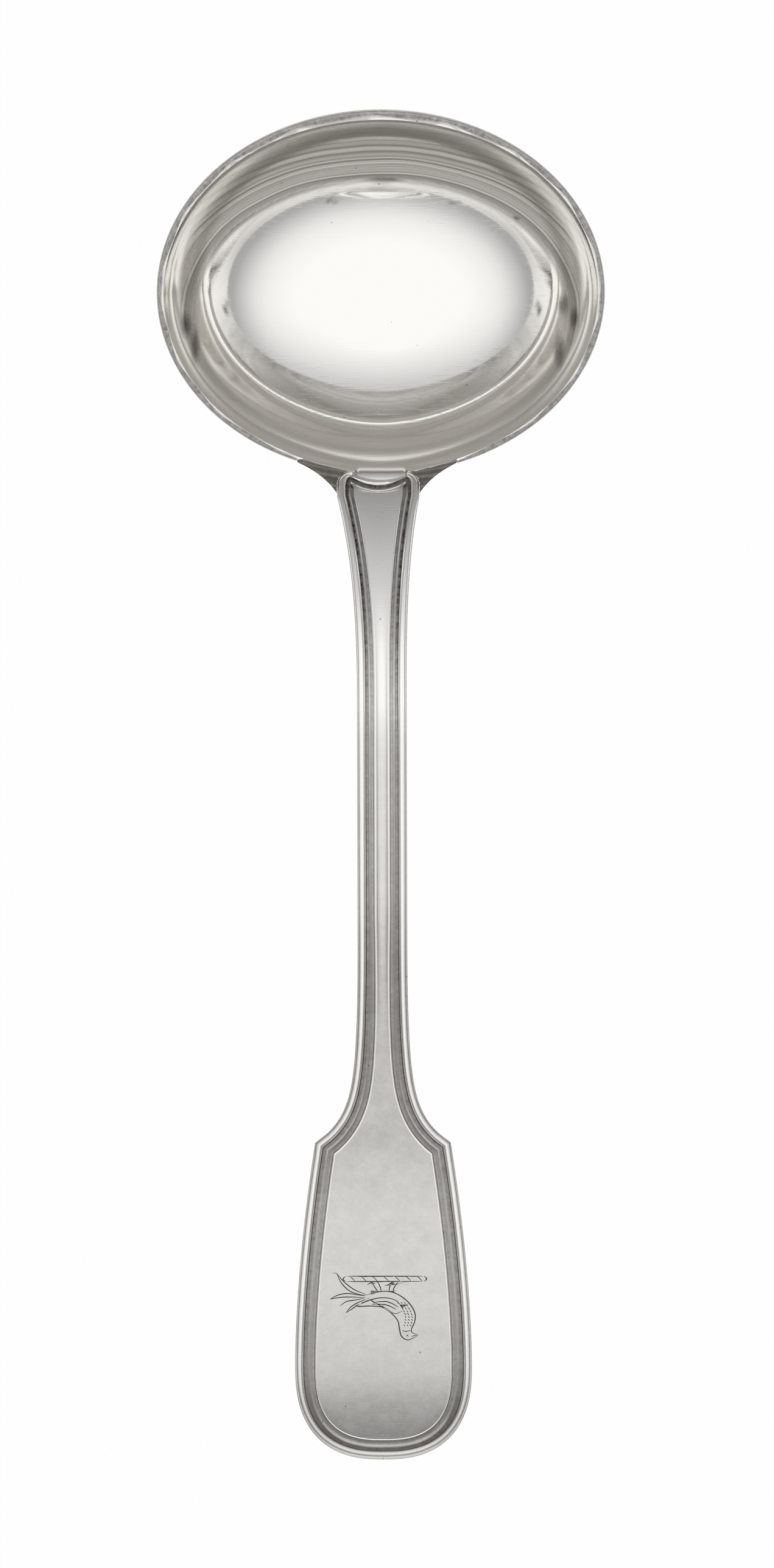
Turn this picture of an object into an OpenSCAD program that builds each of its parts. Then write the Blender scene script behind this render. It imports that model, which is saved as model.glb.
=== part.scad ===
// Gravy ladle with a deep oval bowl and a double-threaded fiddle handle.
// It lies at rest: the bowl's underside and the end of the handle touch z = 0.
// X runs across the ladle, +Y points from the handle to the bowl and +Z points up.

/* [Bowl] */
// Width of the bowl across the handle, over its lip
bowl_width = 58.7; // [48:0.1:70]
// Length of the bowl in line with the handle, in the plane of its lip
bowl_length = 48.2; // [42:0.1:56]
// Depth of the bowl outside, below the plane of its lip
bowl_depth = 22; // [18:0.1:26]
// Thickness of the bowl at its lowest point
bowl_wall = 1.0; // [0.8:0.05:1.6]
// Width of the lip at the sides of the bowl
lip_width = 0.95; // [0.8:0.05:1.4]
// Width of the lip at the far end of the bowl
lip_far = 1.25; // [0.9:0.05:1.6]
// Width of the lip where the stem is joined to it
lip_near = 0.3; // [0.25:0.05:0.9]
// Bevel along the outer and inner edges of the lip
lip_bevel = 0.18; // [0.05:0.01:0.3]
// Tilt of the lip at rest, with the far end higher
bowl_tilt = 10; // [4:0.5:14]

/* [Side view of the handle] */
// Slope of the handle where it leaves the lip, in degrees
root_slope = 45; // [35:1:52]
// Height at which the top of the stem's end stands above the lip
root_rise = 0.7; // [0.3:0.05:1.2]
// Height of the top of the arch above the table
arch_height = 33.6; // [30:0.1:40]
// Distance in plan from the lip to the top of the arch
arch_run = 32; // [26:0.5:40]
// Height of the shoulders of the handle above the table, at mid-thickness
shoulder_height = 18.3; // [14:0.1:22]
// Downward slope of the handle at its shoulders, in degrees
terminal_slope = 20; // [14:1:26]
// Downward slope of the handle at its very end, in degrees
tip_slope = 36; // [24:1:42]
// Thickness of the handle where it meets the bowl
root_thickness = 4.0; // [3:0.1:5]
// Thickness of the stem at the top of the arch
stem_thickness = 3.4; // [2.4:0.1:4.4]
// Thickness of the handle at its shoulders
shoulder_thickness = 2.3; // [1.8:0.1:3]
// Thickness of the handle at its end
tip_thickness = 1.8; // [1.6:0.1:2.6]

/* [Outline of the handle] */
// Width of the stem's end on the lip
neck_width = 10.8; // [10:0.1:13]
// Distance from the end of the stem down to the start of its taper
neck_run = 3.2; // [3:0.1:5]
// Radius of the two corners of the stem's end
neck_corner = 1.8; // [1.3:0.05:2.2]
// Sideways offset of the neck, which the smith set a little off centre
neck_offset = 0.4; // [0:0.05:0.6]
// Width of the slender part of the stem
stem_width = 6.5; // [6:0.1:8]
// Distance in plan over which the neck tapers down to the stem
taper_run = 27; // [20:0.5:34]
// Length in plan of the slender part of the stem
slender_run = 28.3; // [18:0.1:40]
// Distance in plan over which the stem widens to the shoulders
flare_run = 29.4; // [24:0.2:34]
// Width across the shoulders
shoulder_width = 17.8; // [15:0.1:20]
// Greatest width of the flat end of the handle
terminal_width = 23.3; // [21:0.1:28]
// Distance in plan from the shoulders to the end of the handle
terminal_length = 42.2; // [36:0.2:48]
// Length in plan of the rounded end
round_length = 12.6; // [9:0.2:16]
// Squareness of the rounded end, where 2 is an ellipse
round_power = 2.5; // [2:0.1:3]

/* [Threads] */
// Width of the outer thread
thread_width = 1.2; // [0.9:0.05:1.25]
// Width of the groove beside the thread on the stem
stem_groove = 0.9; // [0.6:0.05:1]
// Width of the groove beside the thread on the flat end
terminal_groove = 1.33; // [0.9:0.05:1.5]
// Depth of the groove below the top of the thread
groove_depth = 0.45; // [0.2:0.05:0.6]
// Height of the fine ridge that runs along the groove
fine_ridge = 0.14; // [0:0.02:0.2]
// Width of the bevel between the groove and the centre panel
panel_bevel = 0.25; // [0.1:0.05:0.3]
// Rise of the rounded centre of the stem
stem_crown = 0.3; // [0:0.05:0.4]
// Distance by which the panel's end curves in at the middle of the stem
scallop = 1.1; // [0:0.05:1.4]

/* [Wings and heel] */
// Half width at which the wings leave the lip
wing_reach = 10.6; // [9:0.1:14]
// Half width at which the wings turn down along the stem
wing_turn = 6.8; // [6:0.1:8]
// Distance past the lip at which the wings end on the sides of the stem
wing_drop = 2.3; // [1.6:0.1:3]
// Rise of a wing's edge above the lip where it meets the stem
wing_rise = 1.9; // [1:0.1:3]
// Thickness of a wing's edge where it meets the stem
wing_thickness = 2.6; // [1.6:0.1:3.2]
// Thickness of a wing against the bowl where it meets the stem
wing_root = 5.2; // [3:0.1:6]
// Radius of the wings' edge
wing_edge = 0.35; // [0.2:0.05:0.5]
// Width of the heel beneath the stem
heel_width = 9.8; // [8:0.1:11]
// Radius of the heel seen from the side
heel_radius = 1.8; // [1.5:0.1:2.2]
// Where the heel starts on the side of the bowl, in degrees below the lip
heel_start = 12; // [11:1:16]
// Where the heel ends on the side of the bowl, in degrees below the lip
heel_end = 44; // [30:1:54]

/* [Hidden] */
silver = [0.79, 0.78, 0.76];

bowl_sides = 72;
bowl_rings = 12;

// Bowl in its own frame: the origin is the centre of the lip's plane
bowl_a = bowl_width / 2;
bowl_b = bowl_length / 2;
mouth_near = bowl_b - lip_near;
bowl_reach = norm([bowl_b * cos(bowl_tilt), bowl_depth * sin(bowl_tilt)]);
bowl_z = norm([bowl_b * sin(bowl_tilt), bowl_depth * cos(bowl_tilt)]);

// Length in plan, from the far lip of the bowl to the end of the handle: it is centred on 0
overall_length = bowl_reach + mouth_near * cos(bowl_tilt)
    + neck_run + taper_run + slender_run + flare_run + terminal_length;
bowl_y = overall_length / 2 - bowl_reach;

// Places along the handle in plan, from the lip to the end
root_y = bowl_y - mouth_near * cos(bowl_tilt);
end_y = root_y + lip_near / 2;
neck_y = root_y - neck_run;
taper_y = neck_y - taper_run;
flare_y = taper_y - slender_run;
shoulder_y = flare_y - flare_run;
tip_y = shoulder_y - terminal_length;
apex_y = root_y - arch_run;
widest_y = tip_y + round_length;

// Heights of the middle of the handle at those places
root_z = bowl_z - mouth_near * sin(bowl_tilt) + root_rise
    - root_thickness / 2 / cos(root_slope);
apex_z = arch_height - stem_thickness / 2;
tip_z = tip_thickness / 2 / cos(tip_slope) - 0.28 * thread_width * tan(tip_slope)
    - 0.25 * groove_depth;

function hermite(u, from, to, leave, arrive) =
    (1 - 3 * u * u + 2 * u * u * u) * from
    + (u - 2 * u * u + u * u * u) * leave
    + (3 * u * u - 2 * u * u * u) * to
    + (u * u * u - u * u) * arrive;

// One stretch of the side view, between two places with a height and a slope at each
function stretch(y, y0, y1, z0, z1, slope0, slope1) =
    hermite((y0 - y) / (y0 - y1), z0, z1,
        tan(slope0) * (y0 - y1), tan(slope1) * (y0 - y1));

// Height of the middle of the handle above the table
function spine(y) =
    y > apex_y ? stretch(y, root_y, apex_y, root_z, apex_z, root_slope, 0)
    : y > shoulder_y
        ? stretch(y, apex_y, shoulder_y, apex_z, shoulder_height, 0, -terminal_slope)
        : stretch(y, shoulder_y, tip_y, shoulder_height, tip_z, -terminal_slope, -tip_slope);

// Half of the handle's thickness, measured upright, so a steep stretch counts for more
function half_height(y) =
    norm([1, (spine(y + 0.1) - spine(y - 0.1)) / 0.2]) / 2
    * lookup(y, [
        [tip_y, tip_thickness],
        [shoulder_y, shoulder_thickness],
        [apex_y, stem_thickness],
        [root_y, root_thickness]]);

// Sideways offset of the handle's centre line
function centre_x(y) = -neck_offset * pow(max(0, min(1, (y - taper_y) / taper_run)), 2);

// Half width of the stem between the neck and the shoulders
function stem_half(y) =
    y > taper_y
        ? stem_width / 2
            + (neck_width - stem_width) / 2 * pow((y - taper_y) / taper_run, 2.7)
        : y > flare_y ? stem_width / 2
            : let (u = (flare_y - y) / flare_run)
                stem_width / 2
                + (shoulder_width - stem_width) / 2 * (0.3 * pow(u, 3) + 0.7 * pow(u, 10));

// Half width of the flat end between the shoulders and its widest place
function terminal_half(y) =
    terminal_width / 2
    - (terminal_width - shoulder_width) / 2
        * pow((y - widest_y) / (shoulder_y - widest_y), 1.7);

// Right half of the outline, from the middle of the stem's end round to the tip
corner = [neck_width / 2 - neck_corner, end_y - neck_corner];
corner_angles = [90, 60, 30, 0];
end_points = [for (share = [0.08, 0.4, 0.7, 0.9]) [share * corner.x, end_y]];
corner_points = [for (angle = corner_angles)
    corner + neck_corner * [cos(angle), sin(angle)]];
taper_points = [for (u = [0:0.125:1])
    let (y = neck_y - u * taper_run) [stem_half(y), y]];
slender_points = [for (u = [0.14:0.14:0.99])
    let (y = taper_y + u * (flare_y - taper_y)) [stem_half(y), y]];
flare_points = [for (i = [0:9])
    let (y = flare_y - flare_run * (1 - pow(1 - i / 9, 1.6))) [stem_half(y), y]];
side_points = [for (u = [0.06, 0.2, 0.36, 0.52, 0.68, 0.84])
    let (y = shoulder_y + u * (widest_y - shoulder_y)) [terminal_half(y), y]];
round_points = [for (angle = [0, 10, 20, 30, 40, 50, 59, 67, 74, 80, 85, 88.5])
    [terminal_width / 2 * pow(cos(angle), 2 / round_power),
     widest_y - round_length * pow(sin(angle), 2 / round_power)]];
outline = concat(end_points, corner_points, taper_points, slender_points,
    flare_points, side_points, round_points);
first_corner = len(end_points);
last_corner = first_corner + len(corner_points) - 1;

function unit(v) = v / norm(v);
function inward(from, to) = let (along = unit(to - from)) [along.y, -along.x];
function mirrored(p) = [-p.x, p.y];

// Direction in which an outline point moves so that both its edges move inward alike
function mitre(i) =
    let (last = len(outline) - 1,
        before = i == 0 ? mirrored(outline[0]) : outline[i - 1],
        after = i == last ? mirrored(outline[last]) : outline[i + 1],
        n1 = inward(before, outline[i]),
        n2 = inward(outline[i], after))
    (n1 + n2) / (1 + n1 * n2);

// Outline point i moved inward: a rounded corner shrinks to its centre and past it
function inset(i, line) =
    i < first_corner ? [outline[i].x, end_y - line[1]]
    : i <= last_corner
        ? let (angle = corner_angles[i - first_corner])
            corner + [(neck_corner - line[0]) * cos(angle), (neck_corner - line[1]) * sin(angle)]
        : outline[i] + line[0] * mitre(i);

// Width of the groove, which is wider on the flat end
function groove_at(i) =
    lookup(outline[i].y, [[shoulder_y, terminal_groove], [flare_y, stem_groove]]);

// Depth of the thread's line below its crest: the thread is lower across the stem's end,
// where a valley parts it from the threads along the sides
function thread_depth(i, depth) =
    (i < first_corner ? max(depth, 0.25) : i == first_corner ? max(depth, 0.8) : depth)
    * groove_depth;

// Distance by which the end of the panel curves in, at a place across the stem
function bow(x) = scallop * max(0, 1 - pow(x / corner.x, 2));

// Border of the handle from its edge inward: for each line its distance from the sides,
// its distance from the stem's end, and its depth
function border(i) =
    let (groove = groove_at(i),
        end = 0.65 * thread_width + bow(min(outline[i].x, corner.x)),
        inner = thread_width + groove)
    [
        [0, 0, undef],
        [0.08 * thread_width, 0.1 * thread_width, thread_depth(i, 1)],
        [0.28 * thread_width, 0.25 * thread_width, thread_depth(i, 0.25)],
        [0.5 * thread_width, 0.38 * thread_width, thread_depth(i, 0)],
        [0.75 * thread_width, 0.5 * thread_width, thread_depth(i, 0.25)],
        [thread_width, end, groove_depth],
        [inner - groove / 2, end + 0.3 * stem_groove, groove_depth - fine_ridge],
        [inner, end + 0.6 * stem_groove, groove_depth],
        [inner + panel_bevel, end + panel_end, 0.1]];
panel_end = 0.6 * stem_groove + panel_bevel;
border_lines = 9;
crown_shares = [-0.5, 0, 0.5];

// Rise of the centre panel, which is rounded on the stem and flat on the end
function crown(y) =
    stem_crown * lookup(y, [[shoulder_y, 0], [flare_y, 1], [taper_y, 1], [neck_y, 0.3]]);

// Point of the handle: side is 1 on top and -1 beneath, hand is 1 on the right
function border_point(i, line, side, hand) =
    let (p = inset(i, line))
    [centre_x(p.y) + hand * p.x, p.y,
     spine(p.y) + (is_undef(line[2]) ? 0 : side * (half_height(p.y) - line[2]))];

// Point of the centre panel, held back behind the curve of its end
function crown_point(i, share, side) =
    let (line = border(i)[border_lines - 1],
        p = inset(i, line),
        x = share * p.x,
        y = min(p.y, end_y - 0.65 * thread_width - bow(x) - panel_end - 0.03 * i))
    [centre_x(y) + x, y,
     spine(y) + side * (half_height(y) - line[2] + crown(y) * (1 - share * share))];

// Closed loop of points round the handle at outline point i, from its left edge over the top
function loop(i) = let (lines = border(i), last = border_lines - 1) concat(
    [for (k = [0:last]) border_point(i, lines[k], 1, -1)],
    [for (share = crown_shares) crown_point(i, share, 1)],
    [for (k = [last:-1:0]) border_point(i, lines[k], 1, 1)],
    [for (k = [1:last]) border_point(i, lines[k], -1, 1)],
    [for (share = -crown_shares) crown_point(i, share, -1)],
    [for (k = [last:-1:1]) border_point(i, lines[k], -1, -1)]);

// Faces that skin a stack of loops with the same number of points
function skin(loops, size) = [for (row = [0:loops - 2], i = [0:size - 1])
    let (j = (i + 1) % size)
    [row * size + i, row * size + j, (row + 1) * size + j, (row + 1) * size + i]];

// Faces that close a loop by joining each of its points to the mirrored one
function fold(start, size, flip) = let (
    half = size / 2,
    quarter = size / 4,
    strip = [for (j = [1 - quarter:quarter - 2]) [j, j + 1, half - j - 1, half - j]],
    top = [quarter - 1, quarter, quarter + 1],
    bottom = [3 * quarter + 1, 3 * quarter - 1, 3 * quarter])
    [for (face = concat(strip, [top, bottom]))
        [for (k = [0:len(face) - 1])
            start + (face[flip ? len(face) - 1 - k : k] + size) % size]];

// Ring of points round the bowl, drawn in from its outside by a distance at each angle
function oval(draw_in, shrink, z) = [for (i = [0:bowl_sides - 1])
    let (angle = 360 * i / bowl_sides)
    [(bowl_a - draw_in[i]) * cos(angle) * shrink, (bowl_b - draw_in[i]) * sin(angle) * shrink, z]];

function evenly(distance) = [for (i = [1:bowl_sides]) distance];

// Width of the lip round the bowl: wider at the far end and narrow beside the stem
lip = [for (i = [0:bowl_sides - 1])
    let (along = sin(360 * i / bowl_sides))
    lip_width + (lip_far - lip_width) * pow(max(0, along), 4)
    - (lip_width - lip_near) * pow(max(0, -along), 16)];

// Rings of half an ellipsoid, from just below the lip down to its lowest point
ring_angles = [for (i = [1:bowl_rings]) 89.2 * pow(i / bowl_rings, 1.15)];
body_rings = [for (angle = ring_angles)
    oval(evenly(0), cos(angle), -bowl_depth * sin(angle))];
hollow_rings = [for (angle = ring_angles)
    oval(lip * (1 - sin(angle)) + evenly(bowl_wall * sin(angle)), cos(angle),
        (bowl_wall - bowl_depth) * sin(angle))];

module ring_solid(rings) {
    top = [for (i = [0:bowl_sides - 1]) i];
    bottom = [for (i = [bowl_sides - 1:-1:0]) (len(rings) - 1) * bowl_sides + i];
    polyhedron(
        points = [for (ring = rings) each ring],
        faces = concat([[for (i = [bowl_sides - 1:-1:0]) top[i]]],
            skin(len(rings), bowl_sides),
            [[for (i = [bowl_sides - 1:-1:0]) bottom[i]]]),
        convexity = 4);
}

module in_bowl_frame() {
    translate([0, bowl_y, bowl_z]) rotate([bowl_tilt, 0, 0]) children();
}

// Outside of the bowl, solid up to its lip
module bowl_body() {
    in_bowl_frame() ring_solid(concat(
        [oval(evenly(lip_bevel), 1, 0), oval(evenly(0), 1, -lip_bevel)],
        body_rings));
}

// Hollow of the bowl, carried on above the lip to trim the stem's end
module bowl_hollow() {
    in_bowl_frame() ring_solid(concat(
        [oval(lip, 1, root_rise + thread_width), oval(lip, 1, 0), oval(lip + evenly(lip_bevel / 2), 1, -lip_bevel)],
        hollow_rings));
}

// Handle with its threads, from the lip to the rounded end
module handle() {
    loops = [for (i = [0:len(outline) - 1]) loop(i)];
    size = len(loops[0]);
    polyhedron(
        points = [for (points = loops) each points],
        faces = concat(fold(0, size, true), skin(len(loops), size),
            fold((len(loops) - 1) * size, size, false)),
        convexity = 10);
}

// Edge of a wing in the plane of the lip: u runs from the lip to the stem
wing_start = [wing_reach, -bowl_b * sqrt(1 - pow(wing_reach / bowl_a, 2))];
wing_bend = [wing_turn, -bowl_b];
wing_end = [neck_width / 2 + 0.1, -bowl_b - wing_drop];
function wing_line(u) =
    (1 - u) * (1 - u) * wing_start + 2 * u * (1 - u) * wing_bend + u * u * wing_end;

module wing_post(p, top, thickness) {
    translate([p.x, p.y, top - thickness])
        cylinder(h = thickness, r1 = 0.3 * wing_edge, r2 = wing_edge, $fn = 12);
}

// Wing that rises from one side of the lip to the side of the stem
module wing() {
    steps = 6;
    for (i = [0:steps - 1]) hull() {
        for (u = [i / steps, (i + 1) / steps]) {
            edge = wing_line(u);
            seat_x = edge.x * (1 - u * u);
            seat = [seat_x, -bowl_b * sqrt(1 - pow(seat_x / bowl_a, 2)) + lip_width];
            wing_post(edge + [0, wing_edge], u * wing_rise,
                lip_width + u * (wing_thickness - lip_width));
            wing_post(seat, 0, lip_width + u * (wing_root - lip_width));
        }
    }
}

module wings() {
    translate([centre_x(root_y), 0, 0]) in_bowl_frame() {
        wing();
        mirror([1, 0, 0]) wing();
    }
}

// Point on the outside of the bowl below the stem, the angle running down from the lip
function wall_point(angle, out) =
    let (y = -(bowl_b + out) * cos(angle), z = -(bowl_depth + out) * sin(angle))
    [bowl_y + y * cos(bowl_tilt) - z * sin(bowl_tilt),
     bowl_z + y * sin(bowl_tilt) + z * cos(bowl_tilt)];

module heel_ball(y, z, radius, width) {
    translate([centre_x(root_y), y, z]) scale([width / 2 / radius, 1, 1])
        sphere(r = radius, $fn = 24);
}

// One ball of the heel on the wall of the bowl, with u from the lip down to the heel's end
module wall_ball(u) {
    radius = heel_radius * (1 - 0.55 * u);
    proud = 0.9 * heel_radius * pow(1 - u, 1.5) + 0.12;
    p = wall_point(heel_start + u * (heel_end - heel_start), proud - radius);
    heel_ball(p.x, p.y, radius, heel_width * sqrt(1 - 0.8 * u * u));
}

// Rounded heel that carries the underside of the stem down onto the bowl
module heel() {
    steps = 7;
    stem_end = root_y - 1.2 * root_thickness;
    hull() {
        heel_ball(stem_end, spine(stem_end) - root_thickness / 4, 0.3 * root_thickness,
            heel_width);
        wall_ball(0);
    }
    for (i = [0:steps - 1]) hull() {
        wall_ball(i / steps);
        wall_ball((i + 1) / steps);
    }
}

// The whole ladle as one piece of silver
module ladle() {
    color(silver) difference() {
        union() {
            bowl_body();
            handle();
            wings();
            heel();
        }
        bowl_hollow();
    }
}

ladle();
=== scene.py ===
"""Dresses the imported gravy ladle: an old silver ladle lying on a white table.

The ladle is modelled in millimetres and degrees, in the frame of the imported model, and
is turned into metres at the end. X runs across it, and +Y from the handle to the bowl.
The materials read Object coordinates, which are metres, so a pattern with a scale of
1000 is 1 mm across.
"""
import logging
import math
from collections.abc import Sequence
from dataclasses import dataclass, field
from enum import Enum

import bpy
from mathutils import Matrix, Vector


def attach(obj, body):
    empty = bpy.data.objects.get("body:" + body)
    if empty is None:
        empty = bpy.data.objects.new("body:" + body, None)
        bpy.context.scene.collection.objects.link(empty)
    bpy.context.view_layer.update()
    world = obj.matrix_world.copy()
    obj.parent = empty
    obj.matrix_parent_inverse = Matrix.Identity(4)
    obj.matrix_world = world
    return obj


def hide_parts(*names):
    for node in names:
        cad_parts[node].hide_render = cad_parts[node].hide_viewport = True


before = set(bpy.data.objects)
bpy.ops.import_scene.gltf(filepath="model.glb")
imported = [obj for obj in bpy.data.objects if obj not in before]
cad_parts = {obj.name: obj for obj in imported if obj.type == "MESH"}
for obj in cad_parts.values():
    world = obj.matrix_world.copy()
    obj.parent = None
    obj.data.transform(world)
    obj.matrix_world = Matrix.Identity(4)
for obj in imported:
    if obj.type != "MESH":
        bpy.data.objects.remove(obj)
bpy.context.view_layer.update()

MILLIMETRE = 0.001
WELD = 0.0005
IMAGE_HEIGHT = 2576

Point = tuple[float, float]
Place = tuple[float, float, float]
Piece = bpy.types.Object
Tree = bpy.types.NodeTree
Socket = bpy.types.NodeSocket


class Face(Enum):
    """Which face of the handle a sheet of silver forms."""

    TOP = 1
    UNDERSIDE = -1


class Join(Enum):
    """How one solid is joined to another."""

    UNION = "UNION"
    CUT = "DIFFERENCE"


def linear(hex_colour: str) -> tuple[float, float, float, float]:
    """Turn an sRGB hex colour into the linear colour that a socket takes.

    Args:
        hex_colour: Six hex digits after a hash sign.

    Returns:
        Red, green, blue and alpha.
    """
    values = [int(hex_colour[i:i + 2], 16) / 255 for i in (1, 3, 5)]
    red, green, blue = [
        v / 12.92 if v <= 0.04045 else ((v + 0.055) / 1.055) ** 2.4 for v in values
    ]
    return red, green, blue, 1.0


def sin_deg(angle: float) -> float:
    """Sine of an angle in degrees."""
    return math.sin(math.radians(angle))


def cos_deg(angle: float) -> float:
    """Cosine of an angle in degrees."""
    return math.cos(math.radians(angle))


def tan_deg(angle: float) -> float:
    """Tangent of an angle in degrees."""
    return math.tan(math.radians(angle))


def clamp(value: float, low: float = 0.0, high: float = 1.0) -> float:
    """Value held between two limits."""
    return max(low, min(high, value))


def table(value: float, stops: Sequence[Point]) -> float:
    """Read a value off straight lines between stops, held level past the ends.

    Args:
        value: Where the lines are read.
        stops: Places and values, with the places rising.

    Returns:
        The value at that place.
    """
    if value <= stops[0][0]:
        return stops[0][1]
    for (x0, v0), (x1, v1) in zip(stops, stops[1:]):
        if value <= x1:
            return v0 + (v1 - v0) * (value - x0) / (x1 - x0)
    return stops[-1][1]


def select_only(piece: Piece) -> None:
    """Deselect everything, then select one piece and make it active.

    Args:
        piece: The piece.
    """
    bpy.ops.object.select_all(action="DESELECT")
    piece.select_set(True)
    bpy.context.view_layer.objects.active = piece


def edit(piece: Piece, select: str = "DESELECT") -> None:
    """Open one piece in edit mode with everything selected or nothing selected.

    Args:
        piece: The piece.
        select: Blender's word for what is selected: SELECT or DESELECT.
    """
    select_only(piece)
    bpy.ops.object.mode_set(mode="EDIT")
    bpy.ops.mesh.select_all(action=select)


def done() -> None:
    """Leave edit mode."""
    bpy.ops.object.mode_set(mode="OBJECT")


def named(name: str) -> Piece:
    """Give the active object a name, to its mesh as well.

    Args:
        name: Its name.

    Returns:
        The active object.
    """
    piece = bpy.context.object
    piece.name = name
    piece.data.name = name
    return piece


def settle(piece: Piece) -> None:
    """Put a piece's place, turn and size into its mesh.

    Args:
        piece: The piece.
    """
    select_only(piece)
    bpy.ops.object.transform_apply(location=True, rotation=True, scale=True)


def weld(piece: Piece) -> None:
    """Merge the points of a piece that lie on each other.

    Args:
        piece: The piece, whose faces then point outward.
    """
    edit(piece, "SELECT")
    bpy.ops.mesh.remove_doubles(threshold=WELD)
    bpy.ops.mesh.dissolve_degenerate(threshold=WELD / 2)
    bpy.ops.mesh.select_all(action="SELECT")
    bpy.ops.mesh.normals_make_consistent(inside=False)
    done()


def join_pieces(pieces: list[Piece]) -> Piece:
    """Join pieces into the first of them.

    Args:
        pieces: Objects to join.

    Returns:
        The first object, which now holds them all.
    """
    select_only(pieces[0])
    for piece in pieces[1:]:
        piece.select_set(True)
    bpy.ops.object.join()
    return pieces[0]


def combine(piece: Piece, other: Piece, join: Join) -> None:
    """Join one solid to another with a Boolean modifier, and remove the other.

    Args:
        piece: Solid that is kept.
        other: Solid that is added or cut away.
        join: Which of the two is done.
    """
    select_only(piece)
    modifier = piece.modifiers.new(join.name, "BOOLEAN")
    modifier.solver = "MANIFOLD"
    modifier.operation = join.value
    modifier.object = other
    bpy.ops.object.modifier_apply(modifier=modifier.name)
    bpy.data.objects.remove(other)


def select_level(piece: Piece, height: float) -> None:
    """Select what lies level at a height in a piece that is open in edit mode.

    Args:
        piece: The piece.
        height: Height of the points and edges that are selected.
    """
    done()
    mesh = piece.data
    level = [abs(point.co.z - height) < 1e-4 for point in mesh.vertices]
    mesh.vertices.foreach_set("select", level)
    mesh.edges.foreach_set("select", [all(level[i] for i in e.vertices) for e in mesh.edges])
    mesh.polygons.foreach_set("select", [False] * len(mesh.polygons))
    bpy.ops.object.mode_set(mode="EDIT")
    bpy.ops.mesh.select_mode(type="EDGE")


def set_stops(ramp: bpy.types.Node, stops: Sequence[Point]) -> None:
    """Set the grey stops of a colour ramp.

    Args:
        ramp: The ramp's node.
        stops: Places from 0 to 1 and the grey at each, with the places rising.
    """
    band = ramp.color_ramp
    while len(band.elements) < len(stops):
        band.elements.new(0.5)
    for element, (position, value) in zip(band.elements, stops):
        element.position = position
        element.color = (value, value, value, 1)


def node(
    tree: Tree, kind: str, values: dict[str | int, object] | None = None, **settings: object
) -> bpy.types.Node:
    """Add a node with its settings, its values and its links.

    Args:
        tree: Tree that it is added to.
        kind: Blender's name for the node.
        values: Value or output socket for each input, by name or number.
        settings: Properties of the node.

    Returns:
        The new node.
    """
    added = tree.nodes.new(kind)
    for name, value in settings.items():
        setattr(added, name, value)
    for name, value in (values or {}).items():
        if isinstance(name, int):
            socket = added.inputs[name]
        else:
            socket = next(s for s in added.inputs if s.name == name and s.enabled)
        if isinstance(value, Socket):
            tree.links.new(value, socket)
        else:
            socket.default_value = value
    return added


@dataclass(frozen=True)
class PatinaAndShade:
    """Share of dark tarnish and painted shade on each kind of place: 0 is clean silver and 1 is
    black.

    The grooves and the engraving hold real tarnish. `side` is painted shade that darkens the steep
    outer edges into a dark outline, and `corner` is painted shade on the wings. Below 0 the
    painted grey shade on the handle is left off as well, so that those places show as painted
    highlight, and at -1 all of it is left off.
    """

    # The two shares below 0 leave the painted grey shade off the crests and bevels, as painted
    # highlight.
    bright: float = -1.0
    rubbed_and_unshaded: float = -0.5
    clean: float = 0.0
    # corner is painted shade that darkens the wings; side is painted shade that draws the dark
    # outline of steep edges and sets the painted reflection spots in the bowl.
    corner: float = 0.38
    side: float = 0.55
    groove: float = 0.78
    engraving: float = 0.9
    attribute: str = "tarnish"
    film_and_shade_attribute: str = "film_and_painted_shade"

    def set_all(self, piece: Piece, attribute: str, share: float) -> None:
        """Write one share on every point of a piece."""
        self.set_each(piece, attribute, [share] * len(piece.data.vertices))

    def set_each(self, piece: Piece, attribute: str, shares: list[float]) -> None:
        """Write a share on each point of a piece.

        Args:
            piece: The piece.
            attribute: Name of the attribute that keeps the shares.
            shares: One share for each point.
        """
        layer = piece.data.attributes.new(attribute, "FLOAT", "POINT")
        layer.data.foreach_set("value", shares)


PATINA_AND_SHADE = PatinaAndShade()


@dataclass(frozen=True)
class Plan:
    """Lengths of the handle's stretches as seen from above, in millimetres."""

    neck: float = 3.2
    taper: float = 27.0
    slender: float = 28.3
    flare: float = 29.4
    terminal: float = 42.2

    @property
    def total(self) -> float:
        """Length of all the stretches together."""
        return self.neck + self.taper + self.slender + self.flare + self.terminal


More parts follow.
